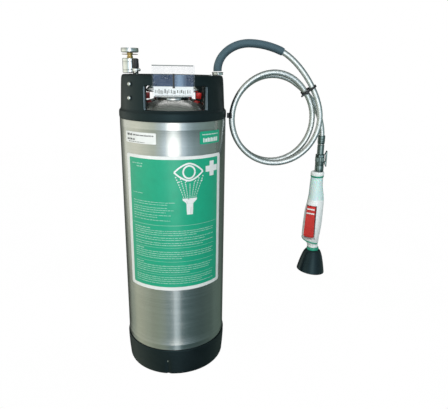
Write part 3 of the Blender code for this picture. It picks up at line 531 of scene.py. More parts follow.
def sweep(path, radii, sides):
    """Round bar along a path, with one radius or one for each point."""
    path = [Vector(p) for p in path]
    if not isinstance(radii, list):
        radii = [radii] * len(path)
    angles = [tau * k / sides for k in range(sides)]
    return loft([[p + side * cos(a) * r + other * sin(a) * r for a in angles]
                 for (p, side, other), r in zip(path_frames(path), radii)])


def lathe(outline, segments=48, place=None, scale=(1.0, 1.0), wave=None):
    """Revolve an (r, z) outline round Z. wave(angle, r, z) may return a new radius."""
    bm = bmesh.new()
    on_axis = outline[0][0] < 1e-9 and outline[-1][0] < 1e-9
    rings = []
    for r, z in outline:
        ring = []
        for k in range(1 if r < 1e-9 else segments):
            if r < 1e-9:
                co = Vector((0, 0, z))
            else:
                a = tau * k / segments
                rr = wave(a, r, z) if wave else r
                co = Vector((rr * cos(a) * scale[0], rr * sin(a) * scale[1], z))
            ring.append(bm.verts.new(place @ co if place else co))
        rings.append(ring)
    pairs = list(zip(rings, rings[1:])) + ([] if on_axis else [(rings[-1], rings[0])])
    for lower, upper in pairs:
        for k in range(segments):
            j = (k + 1) % segments
            corners = (lower[k % len(lower)], lower[j % len(lower)],
                       upper[j % len(upper)], upper[k % len(upper)])
            bm.faces.new(list(dict.fromkeys(corners)))
    return bm


def hexagonal(radius, above, below=1.0, flat=0.90, turn=0.0):
    """Lathe wave that cuts six flats where the radius lies between two limits."""
    def wave(angle, r, z):
        if not above < r < below:
            return r
        return min(r, radius * flat / cos((angle + turn) % (pi / 3) - pi / 6))
    return wave


def knurled(count, depth, above, low=0.0, high=1.0):
    """Lathe wave that cuts grooves where the radius is large enough and z is in a span."""
    def wave(angle, r, z):
        groove = int(angle / tau * count + 0.5) % 2
        return r - depth if groove and r > above and low < z < high else r
    return wave


def torus(major, minor, segments, place, scale=(1, 1)):
    outline = [(major + minor * cos(tau * k / 12), minor * sin(tau * k / 12)) for k in range(12)]
    return lathe(outline, segments, place, scale)


def prism(points, low, high, place=None, bevel=0.0):
    """Extrude an outline in local XY from low to high, with the two rims bevelled."""
    bm = bmesh.new()
    bottom = [bm.verts.new((x, y, low)) for x, y in points]
    top = [bm.verts.new((x, y, high)) for x, y in points]
    bm.faces.new(list(reversed(bottom)))
    bm.faces.new(top)
    stitch(bm, [bottom, top])
    if bevel:
        rim = [e for e in bm.edges if abs(e.verts[0].co.z - e.verts[1].co.z) < 1e-9]
        bmesh.ops.bevel(bm, geom=rim, offset=bevel, segments=2, affect="EDGES", profile=0.5)
    if place:
        bmesh.ops.transform(bm, matrix=place, verts=bm.verts)
    return bm


def box(xs, ys, zs, bevel, segments=2, place=None):
    """Box with bevelled edges, from its (low, high) along each axis."""
    spans = (xs, ys, zs)
    bm = bmesh.new()
    bmesh.ops.create_cube(bm, size=1.0)
    bmesh.ops.scale(bm, vec=[b - a for a, b in spans], verts=bm.verts)
    bmesh.ops.translate(bm, vec=[(a + b) / 2 for a, b in spans], verts=bm.verts)
    bmesh.ops.bevel(bm, geom=list(bm.edges), offset=bevel, segments=segments, affect="EDGES",
                    profile=0.5)
    if place:
        bmesh.ops.transform(bm, matrix=place, verts=bm.verts)
    return bm


def join(bm, other):
    """Append another bmesh to bm."""
    mesh = bpy.data.meshes.new("tmp")
    other.to_mesh(mesh)
    other.free()
    bm.from_mesh(mesh)
    bpy.data.meshes.remove(mesh)


# ------------------------------------------------------------------ tank
OPENING_X, OPENING_Y = 0.0405, 0.0475      # half sizes of the oval opening
CROWN_R = 0.062                            # where the oval crown turns round
SHELL_SIDES = 160
POST_X = 0.072                             # the two ports, left and right of the lid

# rolled edge of the opening: blend towards the round crown, growth of the oval, z
OPENING_EDGE = [
    (0.0, 0.0002, 0.5781), (0.0, 0.0, 0.5788), (0.0, 0.0004, 0.5801), (0.0, 0.0013, 0.5806),
    (0.0, 0.0026, 0.5802), (0.15, 0.0020, 0.5795), (0.5, 0.0, 0.5782)]
OPENING_INSIDE = [(0.5, 0.0, 0.5769), (0.10, 0.001, 0.5781)]
# crown, shoulder, wall with a faint weld line near each end, and foot
SHELL_OUTSIDE = [
    (CROWN_R, 0.5757), (0.070, 0.5723), (0.078, 0.5686), (0.086, 0.5642), (0.092, 0.5607),
    *arc(0.088, 0.540, 0.020, 60, 0, 8),
    (0.108, 0.5330), (0.1080, 0.5310), (0.10812, 0.5305), (0.10812, 0.5297), (0.1080, 0.5292),
    (0.108, 0.500), (0.108, 0.40), (0.108, 0.30), (0.108, 0.20), (0.108, 0.10),
    (0.108, 0.0742), (0.10812, 0.0736), (0.10812, 0.0728), (0.108, 0.0722), (0.108, 0.0500),
    *arc(0.084, 0.038, 0.024, 0, -90, 8),
    (0.04, 0.014)]
SHELL_INSIDE = [
    (0.04, 0.0152), *arc(0.084, 0.038, 0.0228, -90, 0, 6),
    (0.1068, 0.10), (0.1068, 0.30), (0.1068, 0.50), *arc(0.088, 0.540, 0.0188, 0, 60, 5),
    (0.078, 0.5673), (CROWN_R, 0.5744)]


def tank_shell():
    bm = bmesh.new()
    rings = []
    angles = [tau * k / SHELL_SIDES for k in range(SHELL_SIDES)]

    def add_round(stations):
        for r, z in stations:
            rings.append([bm.verts.new((*polar(r, a), z)) for a in angles])

    def add_oval(stations):
        for blend, grow, z in stations:
            ring = []
            for a in angles:
                x, y = (OPENING_X + grow) * cos(a), (OPENING_Y + grow) * sin(a)
                round_x, round_y = polar(CROWN_R, a)
                ring.append(bm.verts.new((x + (round_x - x) * blend,
                                          y + (round_y - y) * blend, z)))
            rings.append(ring)

    add_oval(OPENING_EDGE)
    add_round(SHELL_OUTSIDE)
    outer_count = len(rings)
    bottom_out = bm.verts.new((0, 0, 0.014))
    add_round(SHELL_INSIDE)
    add_oval(OPENING_INSIDE)
    bottom_in = bm.verts.new((0, 0, 0.0152))
    outer, inner = rings[:outer_count], rings[outer_count:]
    stitch(bm, outer)
    stitch(bm, inner)
    for k in range(SHELL_SIDES):
        j = (k + 1) % SHELL_SIDES
        bm.faces.new((outer[-1][k], outer[-1][j], bottom_out))
        bm.faces.new((bottom_in, inner[0][j], inner[0][k]))
        bm.faces.new((inner[-1][k], inner[-1][j], outer[0][j], outer[0][k]))
    stand_in("tank_shell", bm, STEEL, smooth=60)


tank_shell()

# weld beads round the two ports
for tag, side_x in (("gas", -1), ("liquid", 1)):
    bead = lathe(rounded(band(0.0084, 0.0101, 0.5600, 0.5764), 0.0004), 64,
                 at(side_x * POST_X, 0))
    extra(tag + "_port_weld", bead, STEEL2)

# ------------------------------------------------------------------ boot
BOOT_OUTLINE = [
    (0.0, 0.0), (0.1025, 0.0), (0.1054, 0.0010), (0.1068, 0.0040), (0.1084, 0.0220),
    (0.1093, 0.0360), (0.1099, 0.0480), (0.1100, 0.0560), (0.1100, 0.0598), (0.1096, 0.0608),
    (0.1086, 0.0610), (0.1083, 0.0606), (0.1083, 0.0400),
    *reversed(arc(0.084, 0.038, 0.0245, -90, -5, 6)),
    (0.060, 0.0134), (0.0, 0.0134)]
SLOT_ANGLE = radians(-90 - 10.5)           # moulded slot, just left of the front centre
DRAIN_FROM_AXIS = 0.060


def boot_wave(angle, r, z):
    """Moulded slot low on the front and a shallow groove below the rim."""
    if r < 0.0965:
        return r
    off = (angle - SLOT_ANGLE + pi) % tau - pi
    slot = exp(-(off / 0.030) ** 4) * min(1.0, max(0.0, (0.040 - z) / 0.006))
    rim = exp(-((z - 0.0535) / 0.0012) ** 2)
    return r - 0.0022 * slot - 0.00035 * rim


def base_boot():
    outline = rounded(BOOT_OUTLINE, 0.0012)
    dense = []
    for i, p in enumerate(outline):        # extra rows on the outer wall give the slot its shape
        dense.append(p)
        q = outline[(i + 1) % len(outline)]
        length = dist(p, q)
        if p[0] > 0.1 and q[0] > 0.1 and length > 0.004 and p[1] < 0.06:
            steps = int(length / 0.0025)
            dense += [(p[0] + (q[0] - p[0]) * s / steps, p[1] + (q[1] - p[1]) * s / steps)
                      for s in range(1, steps)]
    boot = stand_in("base_boot", lathe(dense, 200, wave=boot_wave), RUBBER, smooth=50)
    drains = [lathe(band(0, 0.006, -0.01, 0.02), 24,
                    at(*polar(DRAIN_FROM_AXIS, radians(45 + 90 * k)))) for k in range(4)]
    carve(boot, "drain_cut", drains)


base_boot()

# ------------------------------------------------------------------ handle ring
HOLE_HALF, HOLE_HALF_OUT = 0.0531, 0.0588  # half width of the hand holes, inside and outside
HOLE_TURN = radians(3.5)
# (radius, z) of the outer and inner faces, from the bottom up
RING_OUTSIDE = [
    (.1086, .5440), (.1096, .5454), (.1098, .5580), (.1086, .5602), (.1063, .5622),
    (.1056, .5648), (.1053, .5700), (.1046, .5850), (.1038, .5990), (.1033, .6087),
    (.1029, .6140), (.1023, .6222), (.1009, .6264), (.0978, .6280)]
RING_INSIDE = [
    (.1081, .5442), (.1071, .5478), (.1046, .5530), (.0984, .5582), (.0911, .5622),
    (.0910, .5648), (.0911, .5700), (.0913, .5850), (.0916, .5990), (.0918, .6087),
    (.0920, .6140), (.0926, .6222), (.0941, .6264), (.0960, .6278)]
HOLE_LOW, HOLE_HIGH = 5, 9                 # rows of the hole's lower and upper edges
HOLE_COLUMNS = [0.0, 0.25, 0.5, 0.75, 0.90, 1.0]   # share of the half width
SIDE_COLUMNS = [0.05, 0.16, 0.34, 0.55, 0.78]      # share of the way from the hole to the side


def ring_columns():
    """(kind, share, half) of each column, for the front half and then the back half."""
    columns = []
    for half in (0, 1):
        columns += [("hole", -v, half) for v in reversed(HOLE_COLUMNS[1:])]
        columns += [("hole", v, half) for v in HOLE_COLUMNS]
        columns += [("after", v, half) for v in SIDE_COLUMNS + [1.0]]
        columns += [("before", v, half) for v in reversed(SIDE_COLUMNS)]
    return columns


def column_angle(column, r, wide):
    kind, share, half = column
    edge = asin(wide / r)
    if kind == "hole":
        angle = asin(share * wide / r)
    elif kind == "after":
        angle = edge + (pi / 2 - edge) * share
    else:
        angle = pi - (edge + (pi / 2 - edge) * share)
    return angle + half * pi + HOLE_TURN


def handle_ring():
    columns = ring_columns()
    count = len(columns)
    bm = bmesh.new()

    def wall(outline, wide):
        return [[bm.verts.new(from_front(r, column_angle(c, r, wide), z)) for c in columns]
                for r, z in outline]

    outer, inner = wall(RING_OUTSIDE, HOLE_HALF_OUT), wall(RING_INSIDE, HOLE_HALF)
    in_hole = []
    for k in range(count):
        a, b = columns[k], columns[(k + 1) % count]
        in_hole.append(a[0] == "hole" and b[0] == "hole" and a[2] == b[2])
    for rows, flip in ((outer, False), (inner, True)):
        for i in range(len(rows) - 1):
            for k in range(count):
                if in_hole[k] and HOLE_LOW <= i < HOLE_HIGH:
                    continue
                j = (k + 1) % count
                quad = (rows[i][k], rows[i][j], rows[i + 1][j], rows[i + 1][k])
                bm.faces.new(tuple(reversed(quad)) if flip else quad)
    for k in range(count):
        j = (k + 1) % count
        bm.faces.new((outer[0][j], outer[0][k], inner[0][k], inner[0][j]))
        bm.faces.new((outer[-1][k], outer[-1][j], inner[-1][j], inner[-1][k]))
    # jambs: support loops between the outer and the inner edge of each hole
    for half in (0, 1):
        ks = [k for k in range(count) if columns[k][0] == "hole" and columns[k][2] == half]
        loop = [(HOLE_LOW, k) for k in ks]
        loop += [(i, ks[-1]) for i in range(HOLE_LOW + 1, HOLE_HIGH)]
        loop += [(HOLE_HIGH, k) for k in reversed(ks)]
        loop += [(i, ks[0]) for i in range(HOLE_HIGH - 1, HOLE_LOW, -1)]
        rings = [[outer[i][k] for i, k in loop]]
        for t in (0.16, 0.5, 0.84):
            rings.append([bm.verts.new(outer[i][k].co.lerp(inner[i][k].co, t)) for i, k in loop])
        rings.append([inner[i][k] for i, k in loop])
        for step, (near, far) in enumerate(zip(rings, rings[1:])):
            for q in range(len(loop)):
                w = (q + 1) % len(loop)
                face = bm.faces.new((near[q], near[w], far[w], far[q]))
                if loop[q][1] == loop[w][1] and step < 2:
                    face.material_index = 1        # the upright jambs are painted pale: a painted highlight on their rounded edges
    ob = stand_in("handle_ring", bm, [RUBBER, JAMB_HIGHLIGHT], smooth=None)
    subdivision = ob.modifiers.new("round", "SUBSURF")
    subdivision.levels = subdivision.render_levels = 2
    apply_modifiers(ob)


handle_ring()

# ------------------------------------------------------------------ labels
# Labels are drawn flat: u runs round the tank from the front centre towards +X, v is z.
LABEL_R = 0.1084
UNROLL_R = 0.1088                          # radius that turns u into an angle
INK_THICK = 0.00010
LABEL_DEGREE = radians(1) * UNROLL_R       # u of one degree


def on_tank(u, v, r):
    return from_front(r, u / UNROLL_R, v)


def sheet(u0, u1, v0, v1, r, thick, corner):
    """Curved closed sheet with rounded corners."""
    bm = bmesh.new()
    steps = max(2, int(abs(u1 - u0) / 0.0025))
    columns = []
    for i in range(steps + 1):
        u = u0 + (u1 - u0) * i / steps
        cut = corner_cut(min(u - u0, u1 - u), corner)
        low, high = v0 + cut, v1 - cut
        columns.append([bm.verts.new(on_tank(u, v, rr)) for rr, v in
                        ((r, low), (r + thick, low), (r + thick, high), (r, high))])
    for a, b in zip(columns, columns[1:]):
        for k in range(4):
            j = (k + 1) % 4
            bm.faces.new((a[k], b[k], b[j], a[j]))
    bm.faces.new(columns[0])
    bm.faces.new(list(reversed(columns[-1])))
    return bm


class Ink:
    """Flat printed shapes laid on the tank at radius r, each a thin closed solid."""

    def __init__(self, r, rng=None):
        self.bm = bmesh.new()
        self.r = r
        self.rng = rng

    def strip(self, left, right):
        low, high = self.r, self.r + INK_THICK
        loft([[on_tank(*a, low), on_tank(*b, low), on_tank(*b, high), on_tank(*a, high)]
              for a, b in zip(left, right)], self.bm)

    def bar(self, u0, u1, v0, v1):
        steps = max(1, int(abs(u1 - u0) / 0.004))
        us = [u0 + (u1 - u0) * i / steps for i in range(steps + 1)]
        self.strip([(u, v0) for u in us], [(u, v1) for u in us])

    def stroke(self, points, width, closed=False):
        if closed:
            path = [points[-1], *points, points[0], points[1]]
        else:
            path = [points[0], *points, points[-1]]
        left, right = [], []
        for a, p, b in zip(path, path[1:], path[2:]):
            du, dv = b[0] - a[0], b[1] - a[1]
            length = hypot(du, dv)
            nu, nv = -dv / length, du / length
            left.append((p[0] + nu * width / 2, p[1] + nv * width / 2))
            right.append((p[0] - nu * width / 2, p[1] - nv * width / 2))
        self.strip(left, right)

    def disc(self, u, v, r, steps=8):
        """Disc as a strip of horizontal slices."""
        left, right = [], []
        for i in range(steps + 1):
            a = pi * i / steps
            half = max(r * sin(a), r * 0.03)
            left.append((u - half, v - r * cos(a)))
            right.append((u + half, v - r * cos(a)))
        self.strip(left, right)

    def fill(self, left, right, count):
        """Fill between two outlines with side by side strips."""
        for q in range(count):
            near = [(a[0] + (b[0] - a[0]) * q / count, a[1]) for a, b in zip(left, right)]
            far = [(a[0] + (b[0] - a[0]) * (q + 1) / count, a[1]) for a, b in zip(left, right)]
            self.strip(near, far)

    def words(self, u0, u1, v, height, shortest=0.002, longest=0.008):
        """One line of unreadable print: words made of little bars of uneven height."""
        u = u0
        while u < u1 - 0.001:
            word = min(self.rng.uniform(shortest, longest), u1 - u)
            k = u
            while k < u + word - 0.0004:
                letter = self.rng.uniform(0.0006, 0.0011)
                tall = height * self.rng.choice((0.7, 0.7, 1.0, 0.85))
                self.bar(k, min(k + letter, u + word), v, v + tall)
                k += letter + 0.00028
            u += word + 0.0012

    def make(self, name, material):
        extra(name, self.bm, material, smooth=30)


def safety_label():
    half = radians(57.0) * UNROLL_R
    low, high, border = 0.2035, 0.4813, 0.0098
    back = sheet(-half, half, low, high, LABEL_R - 0.0001, thick=0.0003, corner=0.004)
    stand_in("safety_label", back, WHITE_INK, smooth=30)
    field = sheet(-half + border, half - border, low + 0.0075, high - 0.0062, LABEL_R + 0.0002,
                  thick=0.0001, corner=0.0015)
    extra("safety_label_field", field, GREEN_INK, smooth=30)


def spray(ink):
    """Dashed jets that open towards the eye, with drops near its lower lid."""
    jets, dashes = 7, 9
    for i in range(jets):
        f = i / 6.0
        foot_u, foot_v = 0.0180 + 0.0240 * f, 0.4000
        tip_u, tip_v = 0.0030 + 0.0550 * f, 0.4440 - 0.0150 * cos((f - 0.5) * pi) ** 2
        bend = 0.0030 * (f - 0.5)
        for k in range(dashes):
            dash = [(foot_u + (tip_u - foot_u) * t + bend * t * t, foot_v + (tip_v - foot_v) * t)
                    for t in ((k + 0.20) / dashes, (k + 0.64) / dashes)]
            ink.stroke(dash, 0.0015 if k < 6 else 0.0020)
    for f in (0.10, 0.34, 0.66, 0.90):
        ink.disc(0.0030 + 0.0590 * f, 0.4330 - 0.004 * (f - 0.5) ** 2, 0.0012)


def safety_sign():
    ink = Ink(LABEL_R + 0.0003)
    # eye outline: two arcs meeting in points, and a round iris
    eye_u, eye_v, half_wide, half_high, line = 0.0288, 0.4508, 0.0292, 0.0170, 0.0032
    for side in (1, -1):
        lid = [(eye_u + half_wide * t, eye_v + side * half_high * (1 - abs(t) ** 1.7) * 0.98)
               for t in [i / 16 - 1 for i in range(33)]]
        ink.stroke(lid, line)
    iris = [(eye_u + 0.0118 * cos(tau * k / 40), eye_v + 0.0122 * sin(tau * k / 40))
            for k in range(40)]
    ink.stroke(iris, line, closed=True)
    # cross
    u, v, reach, half, gap = 0.0808, 0.4535, 0.0160, 0.0058, 0.00001
    ink.bar(u - reach, u + reach, v - half, v + half)
    ink.bar(u - half, u + half, v + half + gap, v + reach * 0.93)
    ink.bar(u - half, u + half, v - reach * 0.93, v - half - gap)
    spray(ink)
    # nozzle under the spray: a bowl on a stem
    ink.fill([(0.0150, 0.3990), (0.0160, 0.3950), (0.0215, 0.3905), (0.0232, 0.3880)],
             [(0.0452, 0.3990), (0.0442, 0.3950), (0.0387, 0.3905), (0.0368, 0.3880)], 12)
    ink.fill([(0.0232, 0.3879), (0.0234, 0.3760), (0.0240, 0.3660)],
             [(0.0368, 0.3879), (0.0366, 0.3760), (0.0360, 0.3660)], 6)
    ink.make("safety_label_print", WHITE_INK)


# lines of small print left of the sign: (right end u, v)
SIDE_PRINT = [
    (0.0020, 0.3900), (-0.0060, 0.3855), (-0.0100, 0.3790), (0.0010, 0.3745),
    (-0.0060, 0.3700), (-0.0050, 0.3640), (-0.0250, 0.3595), (-0.0080, 0.3535)]
# lines of print below the sign: (v, right end u, is a heading)
BODY_PRINT = [
    (0.3370, -0.045, 1), (0.3325, 0.086, 0), (0.3283, 0.086, 0), (0.3240, 0.050, 0),
    (0.3180, 0.086, 0), (0.3135, 0.070, 0), (0.3070, 0.086, 0), (0.3025, 0.060, 0),
    (0.2925, -0.060, 1), (0.2880, 0.086, 0), (0.2835, 0.082, 0), (0.2790, 0.086, 0),
    (0.2745, 0.020, 0), (0.2620, -0.062, 1), (0.2575, 0.086, 0), (0.2530, 0.084, 0),
    (0.2485, 0.078, 0), (0.2440, 0.030, 0), (0.2330, 0.086, 0), (0.2287, 0.086, 0),
    (0.2243, 0.060, 0), (0.2195, 0.086, 0)]


def safety_text():
    rng = random.Random(7)
    ink = Ink(LABEL_R + 0.0003, rng)
    ink.words(-0.0900, -0.0640, 0.4640, 0.0024)
    ink.words(-0.0780, -0.0640, 0.4585, 0.0024)
    ink.words(-0.0905, -0.0630, 0.4060, 0.0012)
    for end, v in SIDE_PRINT:
        ink.words(-0.0900, end - rng.uniform(0, 0.01), v, 0.0015)
    ink.bar(-0.0945, 0.0960, 0.3436, 0.3441)
    for v, end, heading in BODY_PRINT:
        ragged = 0 if end > 0.084 else rng.uniform(0, 0.01)
        ink.words(-0.0885, end - ragged, v - 0.0008, 0.0021 if heading else 0.0016,
                  longest=0.010)
    for v in (0.2968, 0.2668, 0.2385):
        ink.bar(-0.0885, 0.0880, v, v + 0.00035)
    ink.make("safety_label_fine_print", PRINT_INK)


def small_labels():
    """Data label at the upper left and contents label at the upper right."""
    rng = random.Random(11)
    degree = LABEL_DEGREE
    data = sheet(-57 * degree, -17.5 * degree, 0.5030, 0.5240, LABEL_R - 0.0001,
                 thick=0.0003, corner=0.0008)
    stand_in("data_label", data, WHITE_INK, smooth=30)
    ink = Ink(LABEL_R + 0.0002, rng)
    ink.words(-54 * degree, -46 * degree, 0.5165, 0.0052, shortest=0.006, longest=0.010)
    ink.words(-45 * degree, -20 * degree, 0.5172, 0.0030, shortest=0.004, longest=0.010)
    ink.words(-54 * degree, -42 * degree, 0.5085, 0.0040, shortest=0.005, longest=0.009)
    ink.words(-52 * degree, -30 * degree, 0.5048, 0.0016)
    ink.make("data_label_print", DARK_INK)
    contents = sheet(27 * degree, 55 * degree, 0.5025, 0.5265, LABEL_R - 0.0001,
                     thick=0.0003, corner=0.0008)
    stand_in("contents_label", contents, GREEN_INK, smooth=30)
    ink = Ink(LABEL_R + 0.0002, rng)
    ink.words(30 * degree, 52.5 * degree, 0.5195, 0.0020, shortest=0.004, longest=0.008)
    u = 31 * degree
    while u < 51.5 * degree:               # a row of plain upright bars
        width = rng.uniform(0.0016, 0.0034)
        ink.bar(u, u + width, 0.5060, 0.5140 - rng.choice((0.0, 0.0, 0.0012)))
        u += width + 0.0012
    ink.make("contents_label_print", WHITE_INK)


safety_label()
safety_sign()
safety_text()
small_labels()

# ------------------------------------------------------------------ ports, couplings and elbows
POST_OUTLINE = [
    (0.0045, 0.5640), (0.0080, 0.5640), (0.0080, 0.5768), (0.0108, 0.5768), (0.0108, 0.5846),
    (0.0092, 0.5854), (0.0092, 0.5920), (0.0085, 0.5928), (0.0085, 0.5945), (0.0092, 0.5953),
    (0.0092, 0.5975), (0.0080, 0.5990), (0.0045, 0.5990)]
COUPLING_OUTLINE = [
    (0.0, 0.6175), (0.0062, 0.6175), (0.0072, 0.6168), (0.0100, 0.6150), (0.0126, 0.6120),
    (0.0126, 0.5974), (0.0130, 0.5968), (0.0136, 0.5960), (0.0136, 0.5886), (0.0132, 0.5868),
    (0.0098, 0.5868), (0.0098, 0.6010), (0.0, 0.6010)]
ELBOW_Z = 0.6179
# centre line of an elbow: distance from the tank axis, z before it is squeezed
ELBOW_LINE = [
    (0.0720, 0.6179), (0.0720, 0.6205), (0.0728, 0.6227), (0.0742, 0.6243), (0.0762, 0.6259),
    (0.0782, 0.6272)]
OUTLET_X = 0.0905

for post, coupling, side_x in (("gas_post", "gas_coupling", -1),
                               ("liquid_post", "outlet_coupling", 1)):
    here = at(side_x * POST_X, 0)
    stand_in(post, lathe(rounded(POST_OUTLINE, 0.0004), 72, here,
                         wave=hexagonal(0.0108, above=0.0100)), STEEL2)
    ribs = knurled(count=48, depth=0.00035, above=0.0124, low=0.5985, high=0.6115)
    stand_in(coupling, lathe(rounded(COUPLING_OUTLINE, 0.0005), 96, here, wave=ribs), BLACK,
             smooth=30)


def elbow(side_x, end, squeeze, radius):
    path = [(side_x * x, 0, ELBOW_Z + (z - ELBOW_Z) * squeeze) for x, z in ELBOW_LINE + end]
    return sweep(path, radius, sides=28)


stand_in("gas_elbow", elbow(-1, [(0.0802, 0.6285), (0.0808, 0.6296), (0.0808, 0.6316)],
                            squeeze=0.78, radius=0.0048), BLACK)
stand_in("outlet_elbow", elbow(1, [(0.0800, 0.6284), (0.0800, 0.6299)],
                               squeeze=0.84, radius=0.0044), CHROME)
ferrule = [(0.0, 0.6284), (0.0118, 0.6284), (0.0118, 0.6330), (0.0106, 0.6344), (0.0, 0.6344)]
stand_in("hose_ferrule", lathe(rounded(ferrule, 0.0004), 72, at(OUTLET_X, 0),
                               wave=hexagonal(0.0118, above=0.01179, flat=0.895, turn=pi / 6)),
         CHROME)

# ------------------------------------------------------------------ valve bracket and its bolts
BOLT_DIRECTION = from_front(1.0, radians(-50.7))
BRACKET_LOW, BRACKET_HIGH = 0.5790, 0.6180
BRACKET_CORNER = 0.004


def valve_bracket():
    """Curved plate inside the handle ring, at the front left."""
    low, high, edge = BRACKET_LOW, BRACKET_HIGH, 0.0004
    sections = []
    for i in range(37):
        t = i / 36
        c = corner_cut(min(t, 1 - t) * 0.060, BRACKET_CORNER)
        outline = ((0.0881, low + c), (0.0885, low - edge + c), (0.0897, low - edge + c),
                   (0.0901, low + c), (0.0901, high - c), (0.0897, high + edge - c),
                   (0.0885, high + edge - c), (0.0881, high - c))
        sections.append([from_front(r, radians(-84.0 + 40.0 * t), z) for r, z in outline])
    stand_in("valve_bracket", loft(sections), STEEL2)


def bracket_bolt(tag, z, wall):
    """Dome head bolt from outside the ring, with a nut behind the bracket."""
    line = along((0, 0, z), BOLT_DIRECTION)
    bolt = [(0.0, 0.0825), (0.0024, 0.0825), (0.0024, wall - 0.0001), (0.0043, wall - 0.0001)]
    bolt += [(0.0043 * cos(radians(a)), wall + 0.0003 + 0.0037 * sin(radians(a)))
             for a in range(0, 90, 9)]
    bolt += [(0.0, wall + 0.0040)]
    stand_in("bracket_bolt_" + tag, lathe(bolt, 40, line), CHROME)
    nut = rounded(band(0.0027, 0.0050, 0.0843, 0.0875), 0.0004)
    flats = hexagonal(0.0050, above=0.00499, flat=0.895, turn=pi / 6)
    stand_in("bracket_nut_" + tag, lathe(nut, 72, line, wave=flats), CHROME)


valve_bracket()
bracket_bolt("upper", z=0.6107, wall=0.1035)
bracket_bolt("lower", z=0.5853, wall=0.1050)

# ------------------------------------------------------------------ charging valve and gauge
VALVE = at(-0.083, 0)
DIAL_TOP, DIAL_PRINT_TOP = 0.67111, 0.6712


def charge_valve():
    body = [
        (0.0, 0.6300), (0.0142, 0.6300), (0.0152, 0.6308), (0.0152, 0.6352), (0.0149, 0.6355),
        (0.0149, 0.6360), (0.0152, 0.6363), (0.0152, 0.6512), (0.0149, 0.6515),
        (0.0149, 0.6520), (0.0152, 0.6523), (0.0152, 0.6566), (0.0143, 0.6577), (0.0, 0.6577)]
    knurl = knurled(count=60, depth=0.00022, above=0.0151, low=0.6525, high=0.6565)
    stand_in("charge_valve_body", lathe(rounded(body, 0.0003), 96, VALVE, wave=knurl), CHROME,
             smooth=30)


def gauge_case():
    stem = [
        (0.0, 0.6581), (0.0062, 0.6581), (0.0062, 0.6612), (0.0050, 0.6616), (0.0050, 0.6641),
        (0.0152, 0.6645), (0.0155, 0.6649), (0.0155, 0.6653), (0.0152, 0.6656),
        (0.0062, 0.6658), (0.0062, 0.6674), (0.0052, 0.6680), (0.0, 0.6680)]
    flats = hexagonal(0.0062, above=0.0051, below=0.0063, turn=0.3)
    stand_in("gauge_stem", lathe(rounded(stem, 0.0002), 72, VALVE, wave=flats), BRASS, smooth=30)
    case = [
        (0.0, 0.6684), (0.0145, 0.6684), (0.0160, 0.6687), (0.0168, 0.6694), (0.0170, 0.6704),
        (0.0170, 0.6749), (0.0156, 0.6749), (0.0156, 0.6701), (0.0, 0.6701)]
    stand_in("gauge_case", lathe(rounded(case, 0.0003), 96, VALVE), CHROME)
    dial = rounded(band(0.0, 0.0151, 0.6705, 0.6711), 0.0001)
    stand_in("gauge_dial", lathe(dial, 72, VALVE), WHITE)


def gauge_print():
    """Ticks over 270 degrees, every fifth one long, and a thin red band."""
    ticks = bmesh.new()
    for k in range(31):
        a = radians(225 - 270 * k / 30)
        start, half = (0.0104, 0.00030) if k % 5 == 0 else (0.0118, 0.00016)
        end = 0.0136
        outward, across = Vector((cos(a), sin(a), 0)), Vector((-sin(a), cos(a), 0))
        corners = [(outward * r + across * s).xy
                   for r, s in ((start, -half), (end, -half), (end, half), (start, half))]
        join(ticks, prism(corners, DIAL_TOP, DIAL_PRINT_TOP, VALVE))
    extra("gauge_ticks", ticks, BLACK)
    sector = arc(0, 0, 0.0142, -45, 25, 18) + arc(0, 0, 0.0137, -45, 25, 18)[::-1]
    extra("gauge_red_band", prism(sector, DIAL_TOP, DIAL_PRINT_TOP, VALVE), RED)


def gauge_pointer():
    needle = [
        (-0.0050, -0.0010), (-0.0020, -0.0012), (0.0, -0.0016), (0.0060, -0.0006),
        (0.0120, 0.0), (0.0060, 0.0006), (0.0, 0.0016), (-0.0020, 0.0012), (-0.0050, 0.0010)]
    bm = prism(needle, 0.6715, 0.67185, VALVE @ Matrix.Rotation(radians(225), 4, "Z"))
    join(bm, lathe(rounded(band(0, 0.0018, 0.67145, 0.672), 0.0002), 32, VALVE))
    stand_in("gauge_pointer", bm, BLACK, "gauge_pointer")


def gauge_window():
    lens = [
        (0.0, 0.6731), (0.0151, 0.6731), (0.0151, 0.6743), (0.0120, 0.6746), (0.0060, 0.6747),
        (0.0, 0.6747)]
    stand_in("gauge_lens", lathe(lens, 72, VALVE), GLASS)
    bezel = [
        (0.0146, 0.6752), (0.0170, 0.6752), (0.0170, 0.6763), (0.0162, 0.6769),
        (0.0152, 0.6769), (0.0146, 0.6764)]
    knurl = knurled(count=72, depth=0.0002, above=0.0169)
    stand_in("gauge_bezel", lathe(rounded(bezel, 0.0003), 96, VALVE, wave=knurl), CHROME,
             smooth=30)


charge_valve()
gauge_case()
gauge_print()
gauge_pointer()
gauge_window()

# ------------------------------------------------------------------ inflation valve
INFLATE_X, INFLATE_Y = -0.0706, -0.0188
INFLATE = at(INFLATE_X, INFLATE_Y)


